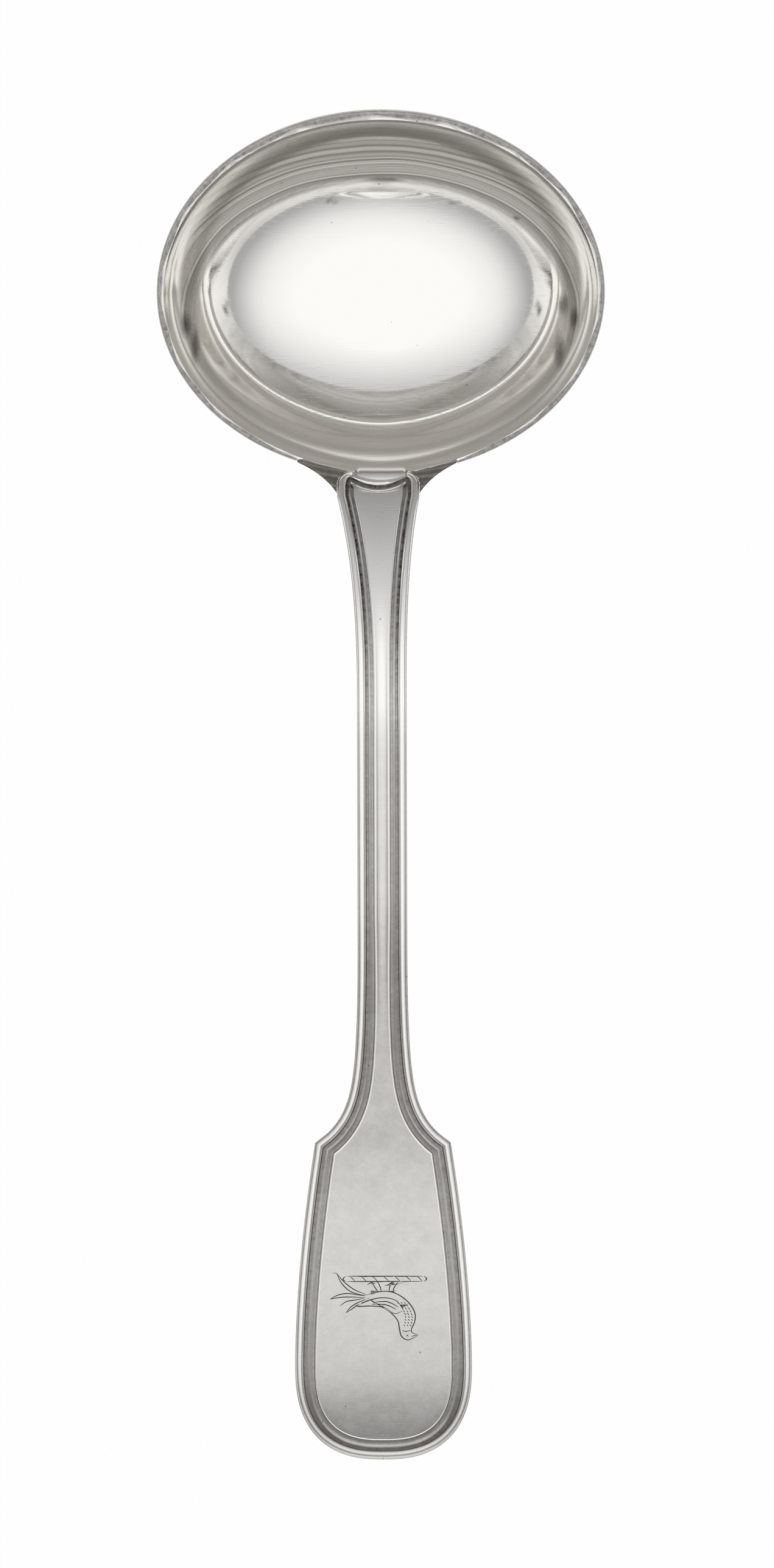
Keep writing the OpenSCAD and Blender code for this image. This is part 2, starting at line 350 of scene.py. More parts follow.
@dataclass
class Bowl:
    """Oval bowl of the ladle, in millimetres, with its lip.

    The tables hold pairs. `wall_slopes` gives the slope of the hollow's wall at a share of its
    radius. `painted_reflection_rise` gives the painted grey shade that stands in for the rings of
    reflection in the hollow, at a share of the half axes of its inner edge, and
    `painted_highlight_ring` the part of it that is left off at the sides as a painted highlight,
    at a share of the bowl's radius. `painted_edge_shade` gives the painted shade of the outer edge
    at a height from the lip, and `rim_steps` how the rounded inner edge rises and spreads. A
    painted reflection spot is its middle, from the lip's centre, and its two half widths.
    """

    plan: Plan = Plan()
    width: float = 58.7
    length: float = 48.2
    depth: float = 22.0
    wall: float = 1.0
    lip_width: float = 0.95
    lip_far: float = 1.25
    lip_near: float = 0.3
    lip_round: float = 0.42
    inner_round: float = 0.1
    collar: float = 1.9
    notch_half: float = 3.4
    notch_edge: float = 0.3
    notch_depth: Point = (0.5, 1.0)
    notch_fade: float = 35.0
    tilt: float = 10.0
    segments: int = 288
    rings: int = 144
    crowd_side: float = 0.6
    crowd_lip: float = 1.25
    wall_slopes: tuple[Point, ...] = (
        (0.72, 0.77), (0.8, 0.87), (0.84, 1.7), (0.88, 2.3), (0.92, 2.3), (0.96, 1.9), (1.0, 4.6),
    )

    # Painted reflection: a grey ring pattern on the hollow's wall, with a painted highlight ring,
    # in place of the rings that it reflects.
    painted_reflection_centre: float = -2.4
    painted_reflection_half: Point = (24.1, 17.4)
    painted_reflection_rise: tuple[Point, ...] = (
        (0.995, 0.0), (1.035, 0.9), (1.1, 0.7), (1.16, 0.84), (1.38, 0.8), (1.45, 0.45),
    )
    painted_highlight_ring: tuple[Point, ...] = ((0.89, 0.0), (0.915, 0.9), (0.97, 0.9), (1.0, 0.4))
    near_less_shade: float = 0.7
    painted_reflection_spots: tuple[tuple[float, float, float, float], ...] = (
        (0.5, 15.3, 2.2, 0.3), (-25.6, -4.0, 0.7, 1.4), (-24.4, -6.6, 0.5, 2.2),
        (-20.4, -1.6, 0.25, 0.9), (24.0, -1.4, 0.6, 1.3), (25.4, -3.2, 0.5, 1.2),
        (23.4, -7.4, 0.6, 2.0), (20.8, -1.8, 0.25, 0.9), (17.9, 10.1, 0.3, 0.3),
        (-6.5, 12.6, 0.8, 0.25), (9.5, 12.3, 0.7, 0.2),
    )
    outer_film: float = 0.6
    film_gap: float = 0.1
    rim_steps: tuple[Point, ...] = ((0.9, 0.1), (0.6, 0.25), (0.5, 0.65))
    painted_edge_shade: tuple[Point, ...] = (
        (-1.1, 0.0), (-0.7, 0.6), (-0.3, 0.65), (-0.2, 0.42), (-0.06, 0.42), (0.0, 0.62),
    )

    @property
    def half_width(self) -> float:
        """Half of the bowl's width."""
        return self.width / 2

    @property
    def half_length(self) -> float:
        """Half of the bowl's length in the plane of its lip."""
        return self.length / 2

    @property
    def mouth_near(self) -> float:
        """Distance from the bowl's centre to the near edge of its mouth."""
        return self.half_length - self.lip_near

    @property
    def reach(self) -> float:
        """Distance in plan from the lip's centre to the far end of the bowl."""
        return math.hypot(self.half_length * cos_deg(self.tilt), self.depth * sin_deg(self.tilt))

    @property
    def overall_length(self) -> float:
        """Length of the whole ladle."""
        return self.reach + self.mouth_near * cos_deg(self.tilt) + self.plan.total

    @property
    def centre_y(self) -> float:
        """Place of the lip's centre along the ladle."""
        return self.overall_length / 2 - self.reach

    @property
    def centre_z(self) -> float:
        """Height of the lip's centre above the table."""
        return math.hypot(self.half_length * sin_deg(self.tilt), self.depth * cos_deg(self.tilt))

    def lip(self, angle: float) -> float:
        """Width of the lip at an angle round the bowl, in radians.

        Args:
            angle: Angle from the right side, towards the far end.

        Returns:
            The width.
        """
        along = math.sin(angle)
        return (
            self.lip_width
            + (self.lip_far - self.lip_width) * max(0.0, along) ** 4
            - (self.lip_width - self.lip_near) * max(0.0, -along) ** 16
        )

    def place(self, piece: Piece, shift_x: float = 0.0) -> None:
        """Tilt a piece that was made in the plane of the lip, and put it in its place.

        Args:
            piece: The piece.
            shift_x: How far it stands to the right of the bowl's middle.
        """
        piece.rotation_euler.x = math.radians(self.tilt)
        piece.location = (shift_x, self.centre_y, self.centre_z)
        settle(piece)

    def half_sphere(self, name: str, rings: int) -> Piece:
        """Cut a sphere of radius 1 down to its lower half, open at the top.

        Args:
            name: Name of the piece.
            rings: Rings of the whole sphere.

        Returns:
            The new piece.
        """
        bpy.ops.mesh.primitive_uv_sphere_add(
            segments=self.segments, ring_count=rings, radius=1
        )
        piece = named(name)
        edit(piece, "SELECT")
        bpy.ops.mesh.bisect(plane_co=(0, 0, 0), plane_no=(0, 0, 1), clear_outer=True)
        done()
        return piece

    def body(self) -> Piece:
        """Make the outside of the bowl, solid up to its lip, with a rounded outer edge.

        Returns:
            The solid bowl, with painted shade on its outer edge and dull wear on its outside.
        """
        piece = self.half_sphere("bowl", self.rings // 2)
        edit(piece, "SELECT")
        bpy.ops.transform.resize(
            value=(self.half_width, self.half_length, self.depth), center_override=(0, 0, 0)
        )
        select_level(piece, 0)
        bpy.ops.mesh.edge_face_add()
        select_level(piece, 0)
        bpy.ops.mesh.bevel(offset=self.lip_round, segments=5, profile=0.5)
        done()
        # The lip's outer edge gets painted shade, darker in a band below the lip, standing in for
        # the grey that it reflects.
        PATINA_AND_SHADE.set_each(piece, PATINA_AND_SHADE.attribute, [
            table(point.co.z, self.painted_edge_shade) for point in piece.data.vertices
        ])
        PATINA_AND_SHADE.set_each(piece, PATINA_AND_SHADE.film_and_shade_attribute, [
            -self.outer_film if point.co.z < -self.lip_round - self.film_gap else 0.0
            for point in piece.data.vertices
        ])
        self.place(piece)
        return piece

    def film_and_painted_shade(self, x: float, y: float) -> float:
        """Share of grey painted shade on the wall of the hollow, standing in for the rings of
        reflection there.

        Args:
            x: Place across the ladle.
            y: Place along it, from the lip's centre.

        Returns:
            The share.
        """
        half_x, half_y = self.painted_reflection_half
        ring = math.hypot(x / half_x, (y - self.painted_reflection_centre) / half_y)
        radius = max(math.hypot(x / self.half_width, y / self.half_length), 0.01)
        side = (abs(x) / self.half_width / radius) ** 3
        near = max(0.0, -y / self.half_length / radius) ** 2
        share = table(ring, self.painted_reflection_rise) * (1 - self.near_less_shade * near)
        return share * (1 - side * table(radius, self.painted_highlight_ring))

    def notch(self, x: float) -> float:
        """Extra distance that the mouth reaches towards the stem between its threads.

        Args:
            x: Place across the ladle.

        Returns:
            The distance.
        """
        side, middle = self.notch_depth
        inside = clamp((self.notch_half - abs(x)) / self.notch_edge)
        return inside * (side + (middle - side) * (1 - (x / self.notch_half) ** 2))

    def hollow(self) -> Piece:
        """Make the hollow of the bowl, carried on above the lip, with a soft upper edge.

        Returns:
            The solid that is cut out of the bowl.
        """
        rim = 2 * self.inner_round
        wall = self.wall_profile()
        piece = self.half_sphere("hollow", self.rings)
        # The points crowd towards the stem, where the mouth is notched, and towards the lip.
        for point in piece.data.vertices:
            turn = math.remainder(math.atan2(point.co.y, point.co.x) + math.pi / 2, math.tau)
            crowd = 1 - self.crowd_side + self.crowd_side * abs(turn) / math.pi
            angle = turn * crowd - math.pi / 2
            below = math.asin(clamp(-point.co.z)) / (math.pi / 2)
            flat = math.cos(math.pi / 2 * below ** self.crowd_lip)
            down = table(flat, wall)
            draw_in = self.lip(angle) * (1 - down) + self.wall * down
            if math.sin(angle) < 0:
                x = (self.half_width - draw_in) * math.cos(angle)
                draw_in -= self.notch(x) * (1 - down) ** self.notch_fade
            point.co.x = (self.half_width - draw_in) * flat * math.cos(angle)
            point.co.y = (self.half_length - draw_in) * flat * math.sin(angle)
            point.co.z = -rim - (self.depth - self.wall - rim) * down
        edit(piece)
        for rise, spread in self.rim_steps:
            self.raise_rim(piece, rise * self.inner_round, spread * self.inner_round)
        self.raise_rim(piece, self.collar, 0)
        bpy.ops.mesh.edge_face_add()
        done()
        weld(piece)
        self.place(piece)
        # Painted reflection in the hollow: dark spots and grey rings written into its colour.
        PATINA_AND_SHADE.set_each(piece, PATINA_AND_SHADE.attribute, [
            self.painted_reflection_spot(point.co.x, point.co.y - self.centre_y) for point in piece.data.vertices
        ])
        PATINA_AND_SHADE.set_each(piece, PATINA_AND_SHADE.film_and_shade_attribute, [
            self.film_and_painted_shade(point.co.x, point.co.y - self.centre_y) for point in piece.data.vertices
        ])
        return piece

    def painted_reflection_spot(self, x: float, y: float) -> float:
        """Share of painted shade in the small dark spots on the wall of the hollow, which are
        painted reflections.

        Args:
            x: Place across the ladle.
            y: Place along it, from the lip's centre.

        Returns:
            The share.
        """
        share = 0.0
        for middle_x, middle_y, half_x, half_y in self.painted_reflection_spots:
            away = math.hypot((x - middle_x) / half_x, (y - middle_y) / half_y)
            share = max(share, PATINA_AND_SHADE.side * clamp(1.5 - away))
        return share

    def wall_profile(self, steps: int = 500) -> list[Point]:
        """Depth of the hollow from its middle to its lip.

        The middle is an ellipsoid. The wall then stands steeper, and eases below the lip.

        Args:
            steps: Number of stretches that the slope is added up over.

        Returns:
            Distance from the middle as a share of the radius, and share of the depth.
        """
        radius = self.half_width - self.wall
        heights = [0.0]
        for step in range(steps):
            share = (step + 0.5) / steps
            slope = (self.depth - self.wall) / radius * share / math.sqrt(1 - share ** 2)
            if share > self.wall_slopes[0][0]:
                slope = table(share, self.wall_slopes)
            heights.append(heights[-1] + slope)
        return [(step / steps, 1 - height / heights[-1]) for step, height in enumerate(heights)]

    def raise_rim(self, piece: Piece, rise: float, spread: float) -> None:
        """Extrude the top edge of the hollow upward and a little outward.

        Args:
            piece: The hollow, open in edit mode.
            rise: Distance upward.
            spread: Distance outward.
        """
        top = max(point.co.z for point in piece.data.vertices)
        select_level(piece, top)
        bpy.ops.mesh.extrude_region_move(TRANSFORM_OT_translate={"value": (0, 0, rise)})
        share_x = 1 + spread / self.half_width
        share_y = 1 + spread / self.half_length
        bpy.ops.transform.resize(
            value=(share_x, share_y, 1), center_override=(0, 0, top + rise)
        )
        # Leaving edit mode and coming back brings the new points into the mesh.
        done()
        bpy.ops.object.mode_set(mode="EDIT")


@dataclass
class Handle:
    """Threaded fiddle handle of the ladle, in millimetres and degrees.

    `thread_wear_and_shade` gives the tarnish at shares of the thread's width, from the edge
    inward: painted shade that darkens the outer edge, real tarnish towards the groove, and below 0
    on the crest, where the painted grey shade is left off as a painted highlight. `groove_lines`
    and `panel_lines` are the places of lines across the groove and the panel. `bevel_steps` gives
    shares of the bevel's width and of its fall, and the tarnish there, below 0 where the painted
    grey shade is left off as a painted highlight. The powers shape the outline: how late the neck
    widens, how late the flat end narrows towards its shoulders, and how square its end is.
    """

    bowl: Bowl
    root_slope: float = 45
    root_rise: float = 0.7
    arch_height: float = 33.6
    arch_run: float = 32
    shoulder_height: float = 18.3
    terminal_slope: float = 20
    tip_slope: float = 36
    root_thickness: float = 4.0
    stem_thickness: float = 3.4
    shoulder_thickness: float = 2.3
    tip_thickness: float = 1.8
    neck_width: float = 10.8
    neck_corner: float = 1.8
    neck_offset: float = 0.4
    stem_width: float = 6.5
    shoulder_width: float = 17.8
    terminal_width: float = 23.3
    round_length: float = 12.6
    round_power: float = 2.5
    thread_width: float = 1.2
    stem_groove: float = 0.9
    terminal_groove: float = 1.33
    groove_depth: float = 0.45
    fine_ridge: float = 0.14
    panel_bevel: float = 0.25
    panel_depth: float = 0.1
    stem_crown: float = 0.3
    scallop: float = 1.1
    lip_depth: float = 0.12
    valley_half: float = 0.5
    row_step: float = 0.6
    corner_angles: tuple[float, ...] = (90, 84, 78, 72, 64, 56, 46, 36, 24, 12, 0)
    taper_power: float = 2.7
    side_power: float = 1.7
    thread_power: float = 2.6
    end_thread: float = 0.65
    end_groove: float = 0.6
    ridge_half: float = 0.22
    round_rows: int = 44
    # Painted shade at the outer edge, and painted highlight on the crest and the bevel, where the
    # painted grey shade is left off.
    thread_wear_and_shade: tuple[Point, ...] = (
        (0.06, PATINA_AND_SHADE.side), (0.12, 0.2), (0.2, 0.0), (0.3, 0.0), (0.42, PATINA_AND_SHADE.rubbed_and_unshaded),
        (0.54, PATINA_AND_SHADE.bright), (0.66, PATINA_AND_SHADE.rubbed_and_unshaded), (0.78, 0.0), (0.88, 0.1),
        (0.95, 0.35), (1.0, PATINA_AND_SHADE.groove),
    )
    groove_lines: tuple[float, ...] = (0.12, 0.28, 0.42, 0.5, 0.58, 0.72, 0.88, 1.0)
    bevel_steps: tuple[Place, ...] = (
        (0.25, 0.55, 0.0), (0.6, 0.2, PATINA_AND_SHADE.bright), (1.0, 0.04, PATINA_AND_SHADE.bright),
        (1.5, 0.0, PATINA_AND_SHADE.clean),
    )
    panel_lines: tuple[float, ...] = (-0.85, -0.65, -0.4, -0.2, 0.0, 0.2, 0.4, 0.65, 0.85)
    outline: list[Point] = field(init=False)
    first_corner: int = field(init=False)
    last_corner: int = field(init=False)

    def __post_init__(self) -> None:
        """Work out the places along the handle, and its outline."""
        bowl = self.bowl
        self.root_y = bowl.centre_y - bowl.mouth_near * cos_deg(bowl.tilt)
        self.end_y = self.root_y + bowl.lip_near / 2
        self.neck_y = self.root_y - bowl.plan.neck
        self.taper_y = self.neck_y - bowl.plan.taper
        self.flare_y = self.taper_y - bowl.plan.slender
        self.shoulder_y = self.flare_y - bowl.plan.flare
        self.tip_y = self.shoulder_y - bowl.plan.terminal
        self.apex_y = self.root_y - self.arch_run
        self.widest_y = self.tip_y + self.round_length
        lip_z = bowl.centre_z - bowl.mouth_near * sin_deg(bowl.tilt) + self.root_rise
        self.root_z = lip_z - self.root_thickness / 2 / cos_deg(self.root_slope)
        self.apex_z = self.arch_height - self.stem_thickness / 2
        # The underside's thread, and not its middle, rests on the table at the tip.
        self.tip_z = (
            self.tip_thickness / 2 / cos_deg(self.tip_slope)
            - 0.28 * self.thread_width * tan_deg(self.tip_slope)
            - 0.1 * self.groove_depth
        )
        self.corner = (self.neck_width / 2 - self.neck_corner, self.end_y - self.neck_corner)
        self.outline = self.make_outline()

    def stretch(self, y: float, near: Place, far: Place) -> float:
        """Height on a smooth stretch of the side view.

        It is a cubic with the height and the slope that are given for each of its ends.

        Args:
            y: Place along the ladle.
            near: Start of the stretch: its place, height and slope in degrees.
            far: End of the stretch, nearer the tip, in the same way.

        Returns:
            The height of the middle of the handle.
        """
        run = near[0] - far[0]
        u = (near[0] - y) / run
        leave, arrive = tan_deg(near[2]) * run, tan_deg(far[2]) * run
        return (
            (1 - 3 * u * u + 2 * u ** 3) * near[1]
            + (u - 2 * u * u + u ** 3) * leave
            + (3 * u * u - 2 * u ** 3) * far[1]
            + (u ** 3 - u * u) * arrive
        )

    def spine(self, y: float) -> float:
        """Height of the middle of the handle above the table.

        Args:
            y: Place along the ladle.

        Returns:
            The height.
        """
        root = (self.root_y, self.root_z, self.root_slope)
        apex = (self.apex_y, self.apex_z, 0.0)
        shoulder = (self.shoulder_y, self.shoulder_height, -self.terminal_slope)
        tip = (self.tip_y, self.tip_z, -self.tip_slope)
        if y > self.apex_y:
            return self.stretch(y, root, apex)
        if y > self.shoulder_y:
            return self.stretch(y, apex, shoulder)
        return self.stretch(y, shoulder, tip)

    def half_height(self, y: float) -> float:
        """Half of the handle's thickness, measured upright.

        Args:
            y: Place along the ladle.

        Returns:
            Half of the thickness.
        """
        slope = (self.spine(y + 0.1) - self.spine(y - 0.1)) / 0.2
        thickness = table(y, [
            (self.tip_y, self.tip_thickness),
            (self.shoulder_y, self.shoulder_thickness),
            (self.apex_y, self.stem_thickness),
            (self.root_y, self.root_thickness),
        ])
        return math.hypot(1, slope) / 2 * thickness

    def centre_x(self, y: float) -> float:
        """Sideways offset of the handle's centre line."""
        return -self.neck_offset * clamp((y - self.taper_y) / self.bowl.plan.taper) ** 2

    def stem_half(self, y: float) -> float:
        """Half width of the stem between the neck and the shoulders.

        Args:
            y: Place along the ladle.

        Returns:
            The half width.
        """
        slender = self.stem_width / 2
        if y > self.taper_y:
            share = ((y - self.taper_y) / self.bowl.plan.taper) ** self.taper_power
            return slender + (self.neck_width - self.stem_width) / 2 * share
        if y > self.flare_y:
            return slender
        u = (self.flare_y - y) / self.bowl.plan.flare
        spread = 0.3 * u ** 3 + 0.7 * u ** 10
        return slender + (self.shoulder_width - self.stem_width) / 2 * spread

    def terminal_half(self, y: float) -> float:
        """Half width of the flat end between the shoulders and its widest place."""
        share = ((y - self.widest_y) / (self.shoulder_y - self.widest_y)) ** self.side_power
        return self.terminal_width / 2 - (self.terminal_width - self.shoulder_width) / 2 * share

    def make_outline(self) -> list[Point]:
        """Lay out the right half of the outline, from the stem's end round to the tip.

        Returns:
            The points of the outline.
        """
        # The rows crowd towards the corner, where a valley parts the threads.
        shares = [i / 12 for i in range(11)] + [0.9, 0.925, 0.95, 0.975]
        ends = [(share * self.corner[0], self.end_y) for share in shares]
        arc = [
            (self.corner[0] + self.neck_corner * cos_deg(angle),
             self.corner[1] + self.neck_corner * sin_deg(angle))
            for angle in self.corner_angles
        ]
        self.first_corner = len(ends)
        self.last_corner = len(ends) + len(arc) - 1
        count = round((self.neck_y - self.flare_y) / self.row_step)
        stem = [self.neck_y + (self.flare_y - self.neck_y) * i / count for i in range(count)]
        # A row before the shoulder and two after it are left out, to give its mitre room.
        count = round(self.bowl.plan.flare / self.row_step)
        flare = [self.flare_y - self.bowl.plan.flare * i / count for i in range(count - 1)]
        stem_side = [(self.stem_half(y), y) for y in stem + flare + [self.shoulder_y]]
        count = round((self.shoulder_y - self.widest_y) / self.row_step)
        side = [
            self.shoulder_y - (self.shoulder_y - self.widest_y) * i / count
            for i in range(3, count)
        ]
        end_side = [(self.terminal_half(y), y) for y in side]
        power = 2 / self.round_power
        turns = [1 - (1 - i / self.round_rows) ** 1.15 for i in range(self.round_rows)] + [1]
        rounded = [
            (self.terminal_width / 2 * max(0.0, cos_deg(90 * turn)) ** power,
             self.widest_y - self.round_length * sin_deg(90 * turn) ** power)
            for turn in turns
        ]
        rounded[-1] = (0.0, self.tip_y)
        return ends + arc + stem_side + end_side + rounded

    def mitre(self, row: int) -> Point:
        """Direction in which an outline point moves so that both its edges move in alike.

        Args:
            row: Number of the outline point.

        Returns:
            The direction, as long as the point moves for 1 mm of its edges.
        """
        here = Vector(self.outline[row])
        before = Vector(self.outline[row - 1]) if row else Vector((-self.outline[1][0], here.y))
        if row + 1 < len(self.outline):
            after = Vector(self.outline[row + 1])
        else:
            after = Vector((-before.x, before.y))
        first, second = (here - before).normalized(), (after - here).normalized()
        n1, n2 = Vector((first.y, -first.x)), Vector((second.y, -second.x))
        both = (n1 + n2) / (1 + n1.dot(n2))
        return both.x, both.y

    def inset(self, row: int, side: float, end: float) -> Point:
        """Move an outline point inward.

        Args:
            row: Number of the outline point.
            side: Distance that lines along the sides keep from the edge.
            end: Distance that the same lines keep from the stem's end.

        Returns:
            The moved point, on the right half.
        """
        x, y = self.outline[row]
        if row < self.first_corner:
            return x, y - end
        if row <= self.last_corner:
            angle = self.corner_angles[row - self.first_corner]
            return (
                self.corner[0] + (self.neck_corner - side) * cos_deg(angle),
                self.corner[1] + (self.neck_corner - end) * sin_deg(angle),
            )
        move = self.mitre(row)
        return x + side * move[0], y + side * move[1]

    def bow(self, x: float) -> float:
        """Distance by which the end of the panel curves in, at a place across the stem."""
        return self.scallop * max(0.0, 1 - (x / self.corner[0]) ** 2)

    def thread_depth(self, row: int, share: float) -> float:
        """Depth of the thread below its crest at a share of its width.

        Args:
            row: Number of the outline point.
            share: 0 at the outer edge of the thread and 1 at the groove.

        Returns:
            The depth, which is greater across the stem's end and in the valley that
            parts it from the threads along the sides.
        """
        depth = self.groove_depth * (abs(share - 0.5) / 0.5) ** self.thread_power
        aside = abs(self.outline[row][0] - self.corner[0])
        if row < self.first_corner:
            depth = max(depth if share > 0.5 else 0.0, self.lip_depth)
        if row <= self.last_corner and aside < self.valley_half:
            valley = 0.5 + 0.5 * math.cos(math.pi * aside / self.valley_half)
            depth = max(depth, valley * self.groove_depth * clamp(3 * share))
        return depth

    def border(self, row: int) -> list[tuple[float, float, float, float]]:
        """Section of the threaded border at an outline point, from the edge inward.

        Args:
            row: Number of the outline point.

        Returns:
            For each line its distance from the sides, its distance from the stem's end, its depth
            below the crest as a length, or as a negative share of the half thickness, and its
            tarnish, which also carries painted shade on the outer edge and painted highlight on
            the crest.
        """
        x, y = self.outline[row]
        width, depth = self.thread_width, self.groove_depth
        groove = table(y, [
            (self.shoulder_y, self.terminal_groove), (self.flare_y, self.stem_groove),
        ])
        end = self.end_thread * width + self.bow(min(x, self.corner[0]))
        end_groove = self.end_groove * self.stem_groove
        # The outer edge takes painted shade, which draws the handle's dark outline.
        worn_and_painted_shade = PATINA_AND_SHADE.side
        lines = [(0.0, 0.0, -1.0, worn_and_painted_shade), (0.012 * width, 0.012 * end, -0.55, worn_and_painted_shade)]
        for share, worn_and_painted_shade in self.thread_wear_and_shade:
            lines.append((share * width, share * end, self.thread_depth(row, share), worn_and_painted_shade))
        for share in self.groove_lines:
            ridge = max(0.0, 1 - abs(share - 0.5) / self.ridge_half)
            ridge = ridge if row > self.last_corner else 0.0
            lines.append((width + share * groove, end + share * end_groove,
                          depth - self.fine_ridge * ridge,
                          PATINA_AND_SHADE.groove * (1 - 0.95 * ridge) * (1 - 0.3 * share)))
        fall = depth - self.panel_depth
        for share, rise, worn_and_painted_shade in self.bevel_steps:
            lines.append((width + groove + share * self.panel_bevel,
                          end + end_groove + share * self.panel_bevel,
                          self.panel_depth + fall * rise, worn_and_painted_shade))
        return lines

    def crown(self, y: float) -> float:
        """Rise of the centre panel, which is rounded on the stem and flat on the end.

        Args:
            y: Place along the ladle.

        Returns:
            The rise.
        """
        return self.stem_crown * table(y, [
            (self.shoulder_y, 0), (self.flare_y, 1), (self.taper_y, 1), (self.neck_y, 0.3),
        ])

    def section(self, row: int, face: Face) -> list[tuple[Place, float]]:
        """Points across one face of the handle at an outline point, from left to right.

        Args:
            row: Number of the outline point.
            face: Which face is wanted.

        Returns:
            The place and the tarnish, with its painted shade, of each point.
        """
        right = []
        lines = self.border(row)
        for side, end, depth, tint in lines:
            x, y = self.inset(row, side, end)
            half = self.half_height(y)
            rise = half * (1 + depth) if depth < 0 else half - depth
            right.append((x, y, face.value * rise, tint))
        edge_x, edge_y = self.inset(row, lines[-1][0], lines[-1][1])
        panel_end = lines[-1][1] - self.bow(min(self.outline[row][0], self.corner[0]))
        centre = []
        for share in self.panel_lines:
            # The last term keeps the rows in order where the panel's end curves in.
            x = share * edge_x
            y = min(edge_y, self.end_y - panel_end - self.bow(x) - 0.012 * row)
            rise = self.half_height(y) - self.panel_depth + self.crown(y) * (1 - share * share)
            centre.append((x, y, face.value * rise, 0.0))
        left = [(-x, y, rise, tint) for x, y, rise, tint in right]
        return [
            ((self.centre_x(y) + x, y, self.spine(y) + rise), tint)
            for x, y, rise, tint in left + centre + right[::-1]
        ]

    def sheet(self, face: Face) -> Piece:
        """Forge one face of the handle from a flat grid.

        Args:
            face: Which face is made.

        Returns:
            The open sheet, with its tarnish and painted shade.
        """
        sections = [self.section(row, face) for row in range(len(self.outline))]
        rows, columns = len(sections) - 1, len(sections[0]) - 1
        bpy.ops.mesh.primitive_grid_add(x_subdivisions=columns, y_subdivisions=rows, size=1)
        piece = named(face.name)
        PATINA_AND_SHADE.set_all(piece, PATINA_AND_SHADE.attribute, PATINA_AND_SHADE.clean)
        layer = piece.data.attributes[PATINA_AND_SHADE.attribute]
        for point in piece.data.vertices:
            row = round((0.5 - point.co.y) * rows)
            column = round((0.5 + point.co.x) * columns)
            point.co, layer.data[point.index].value = sections[row][column]
        if face is Face.UNDERSIDE:
            edit(piece, "SELECT")
            bpy.ops.mesh.flip_normals()
            done()
        return piece

    def build(self) -> Piece:
        """Make the handle as one closed solid.

        Returns:
            The handle.
        """
        piece = join_pieces([self.sheet(Face.TOP), self.sheet(Face.UNDERSIDE)])
        weld(piece)
        piece.name = "handle"
        return piece


